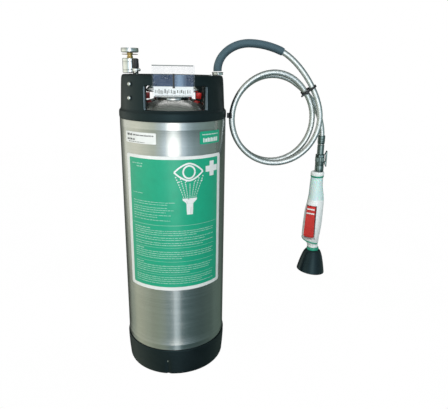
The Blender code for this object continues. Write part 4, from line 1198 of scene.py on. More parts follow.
def inflation_valve():
    path = bezier((-0.0716, -0.0066, 0.6218), (-0.0712, -0.0110, 0.6226),
                  (-0.0706, -0.0188, 0.6240), (INFLATE_X, INFLATE_Y, 0.6300), 12)
    path.append(Vector((INFLATE_X, INFLATE_Y, 0.6334)))
    stem = sweep(path, [0.0030 + 0.0015 * i / 13 for i in range(14)], sides=32)
    collar = [
        (0.0, 0.6334), (0.0056, 0.6334), (0.0062, 0.6340), (0.0062, 0.6380), (0.0058, 0.6386),
        (0.0036, 0.6388), (0.0036, 0.6420), (0.0016, 0.6420), (0.0016, 0.6372), (0.0, 0.6372)]
    join(stem, lathe(rounded(collar, 0.0002), 64, INFLATE,
                     wave=knurled(count=32, depth=0.0003, above=0.0061)))
    stub = [(0.0, 0.0045), (0.0026, 0.0045), (0.0026, 0.0080), (0.0018, 0.0086), (0.0, 0.0086)]
    join(stem, lathe(rounded(stub, 0.0002), 32,
                     along((INFLATE_X, INFLATE_Y, 0.6360), Vector((0.96, -0.28, 0)))))
    stand_in("schrader_stem", stem, CHROME, smooth=30)
    pin = [(0.0, 0.6384), (0.0012, 0.6384), (0.0012, 0.6421), (0.0010, 0.6424), (0.0, 0.6424)]
    stand_in("schrader_pin", lathe(pin, 20, INFLATE), BRASS, "schrader_pin")
    cap = [
        (0.0, 0.6565), (0.0038, 0.6565), (0.0050, 0.6562), (0.0053, 0.6555), (0.0053, 0.6490),
        (0.0056, 0.6482), (0.0056, 0.6394), (0.0041, 0.6394), (0.0041, 0.6440), (0.0, 0.6440)]
    knurl = knurled(count=24, depth=0.0003, above=0.0055, high=0.6470)
    stand_in("schrader_cap", lathe(rounded(cap, 0.0002), 96, INFLATE, wave=knurl), BLACK,
             "schrader_cap", smooth=30)


inflation_valve()

# ------------------------------------------------------------------ lid, relief valve and bail
LID_SCALE = (OPENING_X / OPENING_Y, 1.0)
BAIL_Z = 0.5965                            # pivot line of the bail, along X
EAR_X = 0.0300
BAIL_X = 0.0520


def lid():
    plate = [
        (0.0062, 0.5925), (0.014, 0.5923), (0.020, 0.592), (0.028, 0.5913), (0.036, 0.59),
        (0.041, 0.5884), (0.0435, 0.587), (0.0446, 0.5853), (0.0450, 0.5835), (0.0450, 0.5767),
        (0.0456, 0.5759), (0.0520, 0.5757), (0.0520, 0.5739), (0.0432, 0.5739),
        (0.0432, 0.583), (0.0415, 0.5855), (0.035, 0.5882), (0.020, 0.5902), (0.0062, 0.5906)]
    stand_in("lid_plate", lathe(rounded(plate, 0.0004), 128, None, LID_SCALE), LID_STEEL, "lid")
    oring = torus(0.0492, 0.00095, 96, at(0, 0, 0.5769), LID_SCALE)
    stand_in("lid_oring", oring, RUBBER, "lid")
    for tag, side_x in SIDES:
        x = side_x * EAR_X
        ear = lathe([(0.0036, 0.0), (0.0036, 0.0024), (0.0052, 0.0024), (0.0052, 0.0)], 40,
                    along((x - 0.0012, 0, BAIL_Z), X))
        for ys, zs in (((-0.0060, -0.0037), (0.5907, 0.5975)),
                       ((0.0037, 0.0060), (0.5907, 0.5975)),
                       ((-0.0060, 0.0060), (0.5907, 0.5927))):
            join(ear, box((x - 0.0010, x + 0.0010), ys, zs, bevel=0.0003))
        stand_in("lid_ear_" + tag, ear, LID_STEEL, "lid")


def relief_valve():
    body = [
        (0.0026, 0.5835), (0.0056, 0.5835), (0.0056, 0.5931), (0.0092, 0.5931), (0.0092, 0.602),
        (0.0062, 0.602), (0.0062, 0.5943), (0.0026, 0.5943)]
    stand_in("relief_body", lathe(rounded(body, 0.0003), 72,
                                  wave=hexagonal(0.0092, above=0.0070)), BRASS, "lid")
    cap = [(0.0027, 0.6024), (0.0088, 0.6024), (0.0090, 0.6029), (0.0080, 0.6047),
           (0.0027, 0.605)]
    stand_in("relief_cap", lathe(rounded(cap, 0.0003)), CHROME, "lid")
    stem = [
        (0.0, 0.5855), (0.0022, 0.5855), (0.0022, 0.5947), (0.0056, 0.5947), (0.0056, 0.5959),
        (0.0021, 0.5959), (0.0021, 0.607), (0.0030, 0.6083), (0.0030, 0.6135),
        (0.0020, 0.6145), (0.0, 0.6145)]
    stand_in("relief_stem", lathe(rounded(stem, 0.0003), 40), CHROME, "relief_stem")
    ring = torus(0.0080, 0.0008, 64, at(0, 0.0080, 0.611))
    stand_in("relief_ring", ring, CHROME, "relief_ring")


def bend(a, b, c, reach=0.010, steps=8):
    """Quadratic curve round corner b, starting and ending at a reach from it."""
    start = b + (a - b).normalized() * reach
    end = b + (c - b).normalized() * reach
    return [start * (1 - i / steps) ** 2 + b * 2 * (i / steps) * (1 - i / steps)
            + end * (i / steps) ** 2 for i in range(steps + 1)]


def bail():
    corners = [Vector(p) for p in (
        (-0.0275, 0, BAIL_Z), (-BAIL_X, 0, BAIL_Z), (-0.0500, 0.0620, BAIL_Z + 0.004),
        (0.0500, 0.0620, BAIL_Z + 0.004), (BAIL_X, 0, BAIL_Z), (0.0275, 0, BAIL_Z))]
    wire = [corners[0]]
    for a, b, c in zip(corners, corners[1:], corners[2:]):
        wire += bend(a, b, c)
    wire.append(corners[-1])
    stand_in("bail_wire", sweep(wire, 0.0029, sides=24), CHROME, "bail")
    reach = BAIL_Z - 0.5806                # from the pivot down to the tank
    foot = [(reach * sin(radians(a)), BAIL_Z - reach * cos(radians(a)))
            for a in range(-12, 13, 3)]
    foot += [
        (0.0060, BAIL_Z - 0.0100), (0.0060, BAIL_Z - 0.0060), (0.0050, BAIL_Z - 0.0035),
        (-0.0050, BAIL_Z - 0.0035), (-0.0060, BAIL_Z - 0.0060), (-0.0060, BAIL_Z - 0.0100)]
    for tag, side_x in SIDES:
        x = side_x * BAIL_X
        bm = prism(foot, x - 0.0054, x + 0.0054, placed((0, 0, 0), Y, Z, X), bevel=0.0009)
        # the left foot takes the darker red, a painted shade
        stand_in("bail_foot_" + tag, bm, RED if side_x > 0 else SHADED_RED, "bail")


lid()
relief_valve()
bail()

# ------------------------------------------------------------------ hose
HOSE_R = 0.0061
# the coil eases from its first loop to its last: centre x, centre z, half width, half height
LOOP_FIRST = (0.2125, 0.5432, 0.0922, 0.0930)
LOOP_LAST = (0.2068, 0.5414, 0.0855, 0.0884)
COIL_DEGREES = 665.0
HAND_X, HAND_Y = 0.3218, 0.010
CORE_R = 0.00535
BRAID_STEP = 0.0016
BRAID_TURN = 0.050                         # length of one turn of a bundle
BUNDLES = 12


def loop_point(degrees):
    s = min(max((degrees - 250.0) / 80.0, 0.0), 1.0)
    s = s * s * (3 - 2 * s)
    cx, cz, rx, rz = (a + (b - a) * s for a, b in zip(LOOP_FIRST, LOOP_LAST))
    w = radians(degrees)
    return Vector((cx + rx * cos(w), -0.0200 + 0.0135 * degrees / 360.0, cz - rz * sin(w)))


def hose_arch():
    """The sleeved part, from the outlet over the tank's right shoulder."""
    rise = bezier((OUTLET_X, 0, 0.6358), (0.0888, 0, 0.6670), (0.1200, 0, 0.6906),
                  (0.1548, 0, 0.6906), 48)
    return rise + bezier((0.1548, 0, 0.6906), (0.1780, 0, 0.6906), (0.2030, 0, 0.6850),
                         (0.2235, 0, 0.6754), 32)[1:]


def hose_bare():
    """The rest: a lead into the coil, the coil and a tail down into the hand piece."""
    start = loop_point(0.0)
    lead = bezier((0.2235, 0, 0.6754), (0.2650, -0.0030, 0.6530),
                  (start.x, start.y - 0.0015, start.z + 0.0450), start, 60)[1:]
    coil = [loop_point(COIL_DEGREES * i / 500) for i in range(1, 501)]
    end = loop_point(COIL_DEGREES)
    heading = (end - loop_point(661.0)).normalized()
    tail = bezier(end, end + heading * 0.046, (HAND_X - 0.0030, HAND_Y, 0.5480),
                  (HAND_X, HAND_Y, 0.5070), 48)[1:]
    return lead + coil + tail + [Vector((HAND_X, HAND_Y, 0.4850))]


def braid(path):
    """Flat wire bundles woven over and under round the hose."""
    bm = bmesh.new()
    rng = random.Random(3)
    twist = tau / BRAID_TURN * BRAID_STEP
    half, lean, sink, lift = 0.00118, 0.60, 0.00006, 0.00020
    line = path_frames(path)
    for way in (1, -1):
        for b in range(BUNDLES):
            sections = []
            jitter = rng.uniform(-0.02, 0.02)
            for i, (p, side, other) in enumerate(line):
                a = way * twist * i + tau * b / BUNDLES + jitter
                over = cos(BUNDLES * twist * i + (b % 2) * pi) * way
                out = side * cos(a) + other * sin(a)
                around = side * -sin(a) + other * cos(a)
                tangent = side.cross(other)
                wide = around * cos(lean) - tangent * way * sin(lean)
                c = p + out * (0.00562 + 0.00016 * over)
                sections.append([c - wide * half - out * sink, c + wide * half - out * sink,
                                 c + wide * half * 0.55 + out * lift,
                                 c - wide * half * 0.55 + out * lift])
            loft(sections, bm)
    return bm


def sleeve(path):
    """Thick tube with a wider start and a stepped end."""
    bm = bmesh.new()
    line = path_frames(path)
    last = len(line) - 1

    def ring(i, r):
        p, side, other = line[i]
        return [bm.verts.new(p + (side * cos(tau * k / 40) + other * sin(tau * k / 40)) * r)
                for k in range(40)]

    rings = []
    for i in range(last + 1):
        r = 0.0081 + 0.0005 * max(0.0, 1 - i / 18)
        if i < 3:
            r = 0.0084 + 0.00006 * i
        if i > last - 3:
            r = 0.0076 + 0.00013 * (last - i)
        rings.append(ring(i, r))
    inside = list(range(last, -1, -4))
    if inside[-1] != 0:
        inside.append(0)
    rings += [ring(i, 0.0068) for i in inside]
    stitch(bm, rings, closed=True)
    return bm


arch_path = hose_arch()
hose_path = arch_path + hose_bare()
extra("hose_core", sweep(resample(hose_path, 0.004), CORE_R, sides=20), CORE)
# the braid starts six points inside the sleeve
stand_in("braided_hose", braid(resample(hose_path[len(arch_path) - 6:], BRAID_STEP)), WIRE,
         smooth=50)
stand_in("hose_sleeve", sleeve(resample(arch_path, 0.002)), SLEEVE, smooth=50)

# ------------------------------------------------------------------ coil tie
TIE = Vector((0.2845, 0.0, 0.6050))
TIE_OUT = Vector((0.809, 0.0, 0.588)).normalized()     # away from the middle of the coil
TIE_ALONG = Vector((TIE_OUT.z, 0.0, -TIE_OUT.x))       # along the hose


def hose_crossings():
    """(outward, y) where the hose passes through the plane of the tie."""
    out = []
    for p, q in zip(hose_path, hose_path[1:]):
        a, b = (p - TIE).dot(TIE_ALONG), (q - TIE).dot(TIE_ALONG)
        if a * b <= 0 and abs(a - b) > 1e-9:
            hit = p + (q - p) * (a / (a - b))
            outward = (hit - TIE).dot(TIE_OUT)
            if abs(outward) < 0.03:
                out.append((outward, hit.y))
    return out


def hull(points):
    """Convex hull, counterclockwise."""
    points = sorted(set(points))

    def turn(a, b, c):
        return (b[0] - a[0]) * (c[1] - a[1]) - (b[1] - a[1]) * (c[0] - a[0])

    def chain(sequence):
        out = []
        for p in sequence:
            while len(out) > 1 and turn(out[-2], out[-1], p) <= 0:
                out.pop()
            out.append(p)
        return out[:-1]
    return chain(points) + chain(list(reversed(points)))


def coil_tie():
    crossings = hose_crossings()

    def strap(radius):
        return hull([(round(n + radius * cos(tau * k / 48), 7),
                      round(y + radius * sin(tau * k / 48), 7))
                     for n, y in crossings for k in range(48)])

    inner, outer = strap(HOSE_R + 0.0012), strap(HOSE_R + 0.0025)
    # rounding can give the two hulls different point counts, and then they cannot be joined
    if len(inner) == len(outer):
        bm = bmesh.new()
        rings = []
        for loop, t in ((inner, -0.0024), (outer, -0.0020), (outer, 0.0020), (inner, 0.0024)):
            ring = []
            for n, y in loop:
                p = TIE + TIE_OUT * n + TIE_ALONG * t
                ring.append(bm.verts.new((p.x, y, p.z)))
            rings.append(ring)
        stitch(bm, rings, closed=True)
        stand_in("coil_tie", bm, BLACK)
    front_y = min(y for n, y in crossings) - HOSE_R - 0.0012
    centre = TIE + TIE_OUT * min(n for n, y in crossings)
    place = placed((centre.x, front_y + 0.0008, centre.z), TIE_OUT, Y, TIE_ALONG)
    head = box((-0.0034, 0.0034), (-0.0042, 0.0012), (-0.0032, 0.0032), bevel=0.0006,
               place=place)
    join(head, box((-0.0150, -0.0030), (-0.0022, -0.0012), (-0.0018, 0.0018), bevel=0.0003,
                   segments=1, place=place))
    extra("coil_tie_head", head, BLACK)


coil_tie()

# ------------------------------------------------------------------ hand piece, upper fittings
HAND_AXIS = at(HAND_X, HAND_Y)


def hose_end():
    ferrule = [
        (0.0067, 0.4860), (0.0074, 0.4860), (0.0078, 0.4900), (0.0080, 0.4915),
        (0.0076, 0.4925), (0.0080, 0.4940), (0.0080, 0.4960), (0.0076, 0.4970),
        (0.0080, 0.4985), (0.0080, 0.5020), (0.0074, 0.5050), (0.0067, 0.5050)]
    stand_in("hose_end_ferrule", lathe(rounded(ferrule, 0.0003), 56, HAND_AXIS), DARK_CHROME)


def swivel_nut():
    outline = [
        (0.0, 0.4846), (0.0066, 0.4846), (0.0074, 0.4840), (0.0074, 0.4640), (0.0096, 0.4631),
        (0.0103, 0.4623), (0.0103, 0.4580), (0.0098, 0.4575), (0.0098, 0.4565),
        (0.0103, 0.4560), (0.0103, 0.4480), (0.0097, 0.4470), (0.0097, 0.4400),
        (0.0092, 0.4396), (0.0092, 0.4386), (0.0097, 0.4382), (0.0097, 0.4248), (0.0, 0.4248)]
    flats = hexagonal(0.0103, above=0.0102)
    knurl = knurled(count=64, depth=0.00035, above=0.0102)

    def wave(angle, r, z):
        return (flats if 0.4572 < z < 0.4630 else knurl)(angle, r, z)

    stand_in("swivel_nut", lathe(rounded(outline, 0.0003), 128, HAND_AXIS, wave=wave),
             DARK_CHROME, "hand_piece", smooth=30)


def hang_clip():
    # (x from the hand piece axis, z)
    outline = [
        (0.0107, 0.4470), (0.0107, 0.4452), (0.0116, 0.4430), (0.0128, 0.4402),
        (0.0136, 0.4367), (0.0142, 0.4354), (0.0148, 0.4354), (0.0152, 0.4364),
        (0.0152, 0.4700), (0.0148, 0.4710), (0.0142, 0.4710), (0.0136, 0.4697),
        (0.0128, 0.4664), (0.0116, 0.4650), (0.0107, 0.4642), (0.0107, 0.4624),
        (0.0120, 0.4622), (0.0136, 0.4620), (0.0136, 0.4474), (0.0120, 0.4472)]
    place = placed((HAND_X, HAND_Y, 0), X, Z, Y)
    stand_in("hang_clip", prism(outline, -0.0035, 0.0035, place, bevel=0.0004), DARK_CHROME,
             "hand_piece")


def grip_cap():
    """White cap on the grip, with a green lower rim."""
    # z, centre x, radius
    stations = (
        (0.4244, 0.3192, 0.0124), (0.4241, 0.3192, 0.0136), (0.4233, 0.3190, 0.0144),
        (0.4222, 0.3189, 0.0147), (0.4166, 0.3188, 0.0147), (0.4160, 0.3188, 0.0144),
        (0.4156, 0.3188, 0.0147), (0.4138, 0.3187, 0.0147), (0.4128, 0.3187, 0.0144),
        (0.4122, 0.3187, 0.0138))
    cap = stand_in("grip_cap", loft([oval((x, HAND_Y, z), r, r, 72) for z, x, r in stations]),
                   [WHITE, GREEN], "hand_piece")
    for face in cap.data.polygons:
        face.material_index = 1 if face.center.z < 0.4160 else 0


hose_end()
swivel_nut()
hang_clip()
grip_cap()

# ------------------------------------------------------------------ grip and trigger
# z, centre x, half size in x, half size in y
GRIP_STATIONS = [
    (0.2450, 0.3204, 0.0123, 0.0123), (0.2530, 0.3194, 0.0127, 0.0127),
    (0.2610, 0.3166, 0.0160, 0.0158), (0.2690, 0.3136, 0.0192, 0.0190),
    (0.2910, 0.3147, 0.0206, 0.0204), (0.3130, 0.3161, 0.0208, 0.0204),
    (0.3350, 0.3172, 0.0200, 0.0198), (0.3550, 0.3193, 0.0182, 0.0186),
    (0.3720, 0.3195, 0.0165, 0.0160), (0.3900, 0.3183, 0.0146, 0.0140),
    (0.4118, 0.3185, 0.0136, 0.0132)]
GRIP_POWER = 2.15                          # superellipse power of the cross section
GRIP_CENTRE = Vector((0.3168, HAND_Y, 0))
# the trigger faces the front left: local x points out of the grip, y up, z across
TRIGGER_OUT = from_front(1.0, radians(-38.0))
TRIGGER_FRAME = placed(GRIP_CENTRE, TRIGGER_OUT, Z, Vector((-TRIGGER_OUT.y, TRIGGER_OUT.x, 0)))
TRIGGER_HALF = 0.0118
# (out, z) of the lever's side view
TRIGGER_OUTLINE = [
    (0.0146, 0.3469), (0.0164, 0.3462), (0.0180, 0.3445), (0.0187, 0.3405), (0.0205, 0.3220),
    (0.0215, 0.3075), (0.0222, 0.2950), (0.0225, 0.2800), (0.0224, 0.2770), (0.0221, 0.2750),
    (0.0216, 0.2740), (0.0209, 0.2735), (0.0202, 0.2738), (0.0197, 0.2750), (0.0195, 0.2770),
    (0.0192, 0.2950), (0.0180, 0.3095), (0.0165, 0.3220), (0.0150, 0.3310), (0.0128, 0.3362),
    (0.0100, 0.3377), (0.0080, 0.3381), (0.0070, 0.3409), (0.0080, 0.3437), (0.0110, 0.3457)]


def grip_at(z):
    """Smoothly interpolated centre x and half sizes of the grip at height z."""
    g = GRIP_STATIONS
    i = next(k for k in range(len(g) - 1) if z <= g[k + 1][0])
    before, low, high, after = g[max(i - 1, 0)], g[i], g[i + 1], g[min(i + 2, len(g) - 1)]
    h = high[0] - low[0]
    t = (z - low[0]) / h
    out = []
    for c in (1, 2, 3):
        slope_low = (high[c] - before[c]) / (high[0] - before[0]) * h
        slope_high = (after[c] - low[c]) / (after[0] - low[0]) * h
        out.append((2 * t ** 3 - 3 * t * t + 1) * low[c] + (t ** 3 - 2 * t * t + t) * slope_low
                   + (3 * t * t - 2 * t ** 3) * high[c] + (t ** 3 - t * t) * slope_high)
    return out


def grip_point(angle, z, inset=0.0):
    x, a, b = grip_at(z)
    return Vector((x + (a - inset) * bulge(cos(angle), GRIP_POWER),
                   HAND_Y + (b - inset) * bulge(sin(angle), GRIP_POWER), z))


def grip_body():
    """Grip with a recess for the trigger; its upper part is frosted."""
    low, high = 0.2460, 0.4105
    # z and scale: both ends are drawn in a little
    rows = [(0.2450, 0.96), (0.2453, 0.985), (low, 1.0)]
    rows += [(low + (high - low) * i / 60, 1.0) for i in range(1, 61)]
    rows += [(0.4113, 0.985), (0.4118, 0.96)]
    sections = []
    for z, scale in rows:
        x, a, b = grip_at(z)
        sections.append(oval((x, HAND_Y, z), a * scale, b * scale, 64, power=GRIP_POWER))
    grip = stand_in("grip_body", loft(sections), [WHITE, FROSTED], "hand_piece")
    recess = [(0.0060, 0.2680), (0.0400, 0.2680), (0.0400, 0.3487), (0.0060, 0.3487)]
    carve(grip, "recess_cut", [prism(recess, -0.0124, 0.0124, TRIGGER_FRAME)])
    grip.data.shade_smooth()
    grip.data.set_sharp_from_angle(angle=radians(40))
    for face in grip.data.polygons:
        face.material_index = 1 if face.center.z > 0.3600 else 0


def trigger_half(z):
    """Half width of the lever: narrow at the pivot, wide below, with a rounded lower edge."""
    half = TRIGGER_HALF - 0.0026 * min(max((z - 0.2800) / 0.0700, 0.0), 1.0)
    if z < 0.2770:
        half -= 0.0045 * ((0.2770 - z) / 0.0035) ** 2
    return half


def trigger():
    lever = prism(TRIGGER_OUTLINE, -TRIGGER_HALF, TRIGGER_HALF, TRIGGER_FRAME, bevel=0.0009)
    to_local = TRIGGER_FRAME.inverted()
    for vert in lever.verts:
        q = to_local @ vert.co
        q.z *= trigger_half(q.y) / TRIGGER_HALF
        vert.co = TRIGGER_FRAME @ q
    stand_in("trigger", lever, RED, "trigger")


def grip_lines():
    """Green trim low on the front and a thin line round the joint of the two materials."""
    trim = [grip_point(radians(150 + 150 * i / 24), 0.2680 - 0.0125 * (i / 24))
            for i in range(25)]
    extra("grip_trim", sweep(trim, 0.0018, sides=12), GREEN, "hand_piece")
    joint = [grip_point(tau * i / 64, 0.3580, inset=0.0001) for i in range(65)]
    extra("grip_joint_line", sweep(joint, 0.0006, sides=8), WHITE, "hand_piece")


def trigger_details():
    ribs = bmesh.new()
    for z in (0.2800, 0.2860, 0.2920, 0.2980):
        join(ribs, box((-0.0004, 0.0006), (-0.0008, 0.0008), (-0.0096, 0.0096), bevel=0.0003,
                       place=TRIGGER_FRAME @ at(0.02215, z)))
    extra("trigger_ribs", ribs, RED, "trigger")
    stripes = bmesh.new()
    tilt = Matrix.Rotation(radians(5.4), 4, "Z")
    for z in (0.3306, 0.3402):
        half = trigger_half(z) - 0.0006
        surface = at(0.0207 - (z - 0.3220) * 0.0973, z)
        join(stripes, box((-0.00025, 0.00025), (-0.0015, 0.0015), (-half, half), bevel=0.0001,
                          segments=1, place=TRIGGER_FRAME @ surface @ tilt))
    extra("trigger_stripes", stripes, WHITE, "trigger")
    pin = rounded(band(0, 0.0015, -0.0147, 0.0147), 0.0002)
    stand_in("trigger_pin", lathe(pin, 24, TRIGGER_FRAME @ at(0.0100, 0.3409)), STEEL2,
             "hand_piece")
    plunger = [(0, -0.0020), (0.0026, -0.0020), (0.0026, 0.0171), (0.0018, 0.0176), (0, 0.0176)]
    line = along(GRIP_CENTRE + Vector((0, 0, 0.3029)), TRIGGER_OUT)
    stand_in("valve_plunger", lathe(rounded(plunger, 0.0002), 32, line), STEEL2,
             "valve_plunger")


grip_body()
trigger()
grip_lines()
trigger_details()

# ------------------------------------------------------------------ nozzle, cup and spray rose
CUP_WALL = 0.0026
ROSE_X = 0.3204
ROSE_HOLES = ((0.0, 1), (0.0040, 6), (0.0080, 12), (0.0116, 18))   # ring radius, hole count


def nozzle_collar():
    stations = ((0.2446, 0.0128), (0.2442, 0.0132), (0.2415, 0.0136), (0.2386, 0.0139),
                (0.2381, 0.0136))          # z, radius
    collar = loft([oval((0.3211, HAND_Y, z), r, r, 72) for z, r in stations])
    stand_in("nozzle_collar", collar, GREEN, "hand_piece")


def cup_ring(k, inset):
    """Ring of the cup, k = 0 at the neck and 1 at the lip; it flares and leans on the way."""
    lean = radians(6.5) * k
    r = 0.0152 + 0.0172 * (k ** 0.58)
    return oval((0.3212 - 0.0022 * k, HAND_Y, 0.2377 - 0.0520 * k), r - inset, r - inset, 80,
                a_axis=Vector((cos(lean), 0, -sin(lean))))


def rubber_cup():
    rings = [cup_ring(0.0, 0.0016), cup_ring(0.0015, 0.0004)]
    rings += [cup_ring(0.004 + 0.976 * (i / 32) ** 1.6, 0.0) for i in range(33)]
    rings += [cup_ring(k, inset) for k, inset in
              ((0.993, 0.0002), (1.0, 0.0009), (1.0, 0.0018), (0.992, 0.0025))]
    rings += [cup_ring(0.98 - 0.78 * i / 20, CUP_WALL) for i in range(21)]
    rings += [cup_ring(0.19, 0.0040)]
    stand_in("rubber_cup", loft(rings), CUP_RUBBER, "hand_piece", smooth=60)


def spray_rose():
    # centre x, z, radius
    stations = (
        (0.3205, 0.226, 0.0058), (0.3205, 0.2256, 0.0062), (0.3205, 0.2194, 0.0070),
        (0.3205, 0.2188, 0.0142), (0.3205, 0.2182, 0.0151), (ROSE_X, 0.216, 0.0155),
        (ROSE_X, 0.2149, 0.0150), (ROSE_X, 0.2145, 0.0140))
    stand_in("spray_rose", loft([oval((x, HAND_Y, z), r, r, 64) for x, z, r in stations]),
             WHITE, "hand_piece")
    holes = bmesh.new()
    for ring_r, count in ROSE_HOLES:
        for k in range(count):
            x, y = polar(ring_r, tau * k / count)
            join(holes, lathe(band(0, 0.00075, 0.21435, 0.21465), 14,
                              at(ROSE_X + x, HAND_Y + y)))
    extra("spray_rose_holes", holes, BLACK, "hand_piece")


nozzle_collar()
rubber_cup()
spray_rose()

# ------------------------------------------------------------------ card pouch, card and its tie
POUCH_X, POUCH_Z = (-0.0370, 0.0395), (0.5890, 0.6455)
# slots for the tie: x0, x1, z0, z1
TIE_SLOTS = [(-0.0010, 0.0040, z - 0.0014, z + 0.0014) for z in (0.6068, 0.6302)]
CARD_BANDS = (0.6085, 0.6290)              # white below, blue between, clear above
MARK_Y = (-0.10545, -0.10532)


def subdivided(marks):
    """Sorted marks with even steps of about 5 mm between them."""
    marks = sorted(set(marks))
    out = []
    for a, b in zip(marks, marks[1:]):
        count = max(1, int((b - a) / 0.005))
        out += [a + (b - a) * k / count for k in range(count)]
    return out + [marks[-1]]


def slotted_sheet(x_span, y_span, z_span, cuts=()):
    """Thin upright sheet as a grid of cells, with the cells of the tie slots left out."""
    xs = subdivided([*x_span, *[x for slot in TIE_SLOTS for x in slot[:2]]])
    zs = subdivided([*z_span, *cuts, *[z for slot in TIE_SLOTS for z in slot[2:]]])
    bm = bmesh.new()
    front, back = [[[bm.verts.new((x, y, z)) for z in zs] for x in xs] for y in y_span]

    def empty(i, k):
        if not (0 <= i < len(xs) - 1 and 0 <= k < len(zs) - 1):
            return True
        cx, cz = (xs[i] + xs[i + 1]) / 2, (zs[k] + zs[k + 1]) / 2
        return any(s[0] < cx < s[1] and s[2] < cz < s[3] for s in TIE_SLOTS)

    # neighbour cell, and the two grid corners of the edge shared with it
    edges = (((-1, 0), (0, 0), (0, 1)), ((1, 0), (1, 0), (1, 1)),
             ((0, -1), (0, 0), (1, 0)), ((0, 1), (0, 1), (1, 1)))
    for i in range(len(xs) - 1):
        for k in range(len(zs) - 1):
            if empty(i, k):
                continue
            bm.faces.new((front[i][k], front[i + 1][k], front[i + 1][k + 1], front[i][k + 1]))
            bm.faces.new((back[i][k], back[i][k + 1], back[i + 1][k + 1], back[i + 1][k]))
            for (di, dk), (ai, ak), (bi, bk) in edges:
                if empty(i + di, k + dk):
                    bm.faces.new((front[i + ai][k + ak], front[i + bi][k + bk],
                                  back[i + bi][k + bk], back[i + ai][k + ak]))
    return bm


def card_pouch():
    stand_in("card_pouch", slotted_sheet(POUCH_X, (-0.1060, -0.1056), POUCH_Z), FILM, smooth=30)
    add_object("card_pouch_back_v", slotted_sheet(POUCH_X, (-0.1046, -0.1042), POUCH_Z), FILM,
               smooth=30)
    for tag, xs, zs in (("left", (-0.0370, -0.0356), (0.5892, 0.6453)),
                        ("right", (0.0381, 0.0395), (0.5892, 0.6453)),
                        ("foot", (-0.0355, 0.0380), (0.5892, 0.5904))):
        extra("card_pouch_%s_seam" % tag, box(xs, (-0.1056, -0.1046), zs, bevel=0.0002), FILM)
    rim = box((-0.0368, 0.0370), (-0.1061, -0.1055), (0.6438, 0.6455), bevel=0.0002)
    extra("card_pouch_rim", rim, film_edge())


def inspection_card():
    clear = clear_film("card_clear", (0.80, 0.86, 0.90), alpha=0.03)
    white = printed("card_white", (0.78, 0.80, 0.82))
    card = stand_in("inspection_card",
                    slotted_sheet((-0.0345, 0.0370), (-0.1053, -0.1049), (0.5912, 0.6430),
                                  CARD_BANDS), [BLUE_CARD, clear, white], smooth=30)
    low, high = CARD_BANDS
    for face in card.data.polygons:
        z = face.center.z
        face.material_index = 1 if z > high else (2 if z < low else 0)


def card_marks():
    rng = random.Random(21)
    marks = bmesh.new()

    def mark(x0, x1, z0, z1):
        join(marks, box((x0, x1), MARK_Y, (z0, z1), bevel=0.00002, segments=1))

    x = -0.0320
    while x < 0.0335:                      # one row of plain upright bars of uneven height
        width = rng.uniform(0.0009, 0.0026)
        low = 0.5950 + rng.uniform(0, 0.0028)
        high = 0.6040 - rng.uniform(0, 0.0026)
        mark(x, x + width, low, high)
        x += width + rng.uniform(0.0009, 0.0030)
    x = -0.0325
    while x < 0.0340:                      # a broken rule near the foot of the card
        width = rng.uniform(0.004, 0.009)
        mark(x, min(x + width, 0.0355), 0.5922, 0.5930)
        x += width + 0.0008
    extra("inspection_card_marks", marks, GREY_INK)


def rounded_loop(y0, y1, z0, z1, r):
    points = []
    for cy, cz, start in ((y1 - r, z1 - r, 0), (y0 + r, z1 - r, 90),
                          (y0 + r, z0 + r, 180), (y1 - r, z0 + r, 270)):
        points += arc(cy, cz, r, start, start + 90, 5)
    return points


def pouch_tie():
    bm = bmesh.new()
    outer = rounded_loop(-0.1075, -0.0875, 0.6062, 0.6308, 0.0012)
    inner = rounded_loop(-0.1064, -0.0886, 0.6074, 0.6296, 0.0004)
    left, right = 0.0, 0.0030
    rings = [[bm.verts.new((x, y, z)) for y, z in loop] for loop, x in
             ((outer, left), (outer, right), (inner, right), (inner, left))]
    stitch(bm, rings, closed=True)
    stand_in("pouch_tie", bm, BLACK)


card_pouch()
inspection_card()
card_marks()
pouch_tie()

# ------------------------------------------------------------------ relief spring
spring_path = [Vector((*polar(0.0042, tau * i / 32), 0.5969 + 0.0044 * i / 112))
               for i in range(113)]
spring = stand_in("relief_spring", sweep(spring_path, 0.0004, sides=10), STEEL2, "lid")
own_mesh(spring)

# CAD pieces that stay in view keep their shape and get node materials
for node_name, node_object in NODES.items():
    if not node_object.hide_render:
        node_object.data.materials.clear()
        node_object.data.materials.append(SLOT_MATERIAL[NODE_SLOT[node_name]])

# ------------------------------------------------------------------ world
scene = bpy.context.scene
scene.view_settings.view_transform = "Standard"
scene.view_settings.look = "None"
scene.view_settings.exposure = 0.0
scene.view_settings.gamma = 1.0

# colour of the surroundings by direction: degrees from -Y, + towards +X
AROUND = [
    (-180, (0.20, 0.22, 0.22)), (-158, (0.06, 0.07, 0.06)), (-140, (0.30, 0.32, 0.28)),
    (-124, (1.00, 1.03, 0.92)), (-86, (1.10, 1.12, 0.98)), (-60, (0.92, 0.98, 0.86)),
    (-43, (0.78, 0.86, 0.76)), (-30, (0.74, 0.87, 0.90)), (-19, (1.00, 1.18, 1.30)),
    (-9, (2.3, 2.4, 2.4)), (0, (2.9, 3.0, 3.0)), (8, (2.3, 2.4, 2.4)),
    (19, (0.95, 1.15, 1.30)), (33, (0.52, 0.68, 0.76)), (46, (0.36, 0.49, 0.53)),
    (62, (0.30, 0.42, 0.42)), (88, (0.26, 0.36, 0.34)), (112, (0.20, 0.28, 0.25)),
    (130, (0.10, 0.14, 0.12)), (150, (0.10, 0.12, 0.11)), (180, (0.20, 0.22, 0.22))]
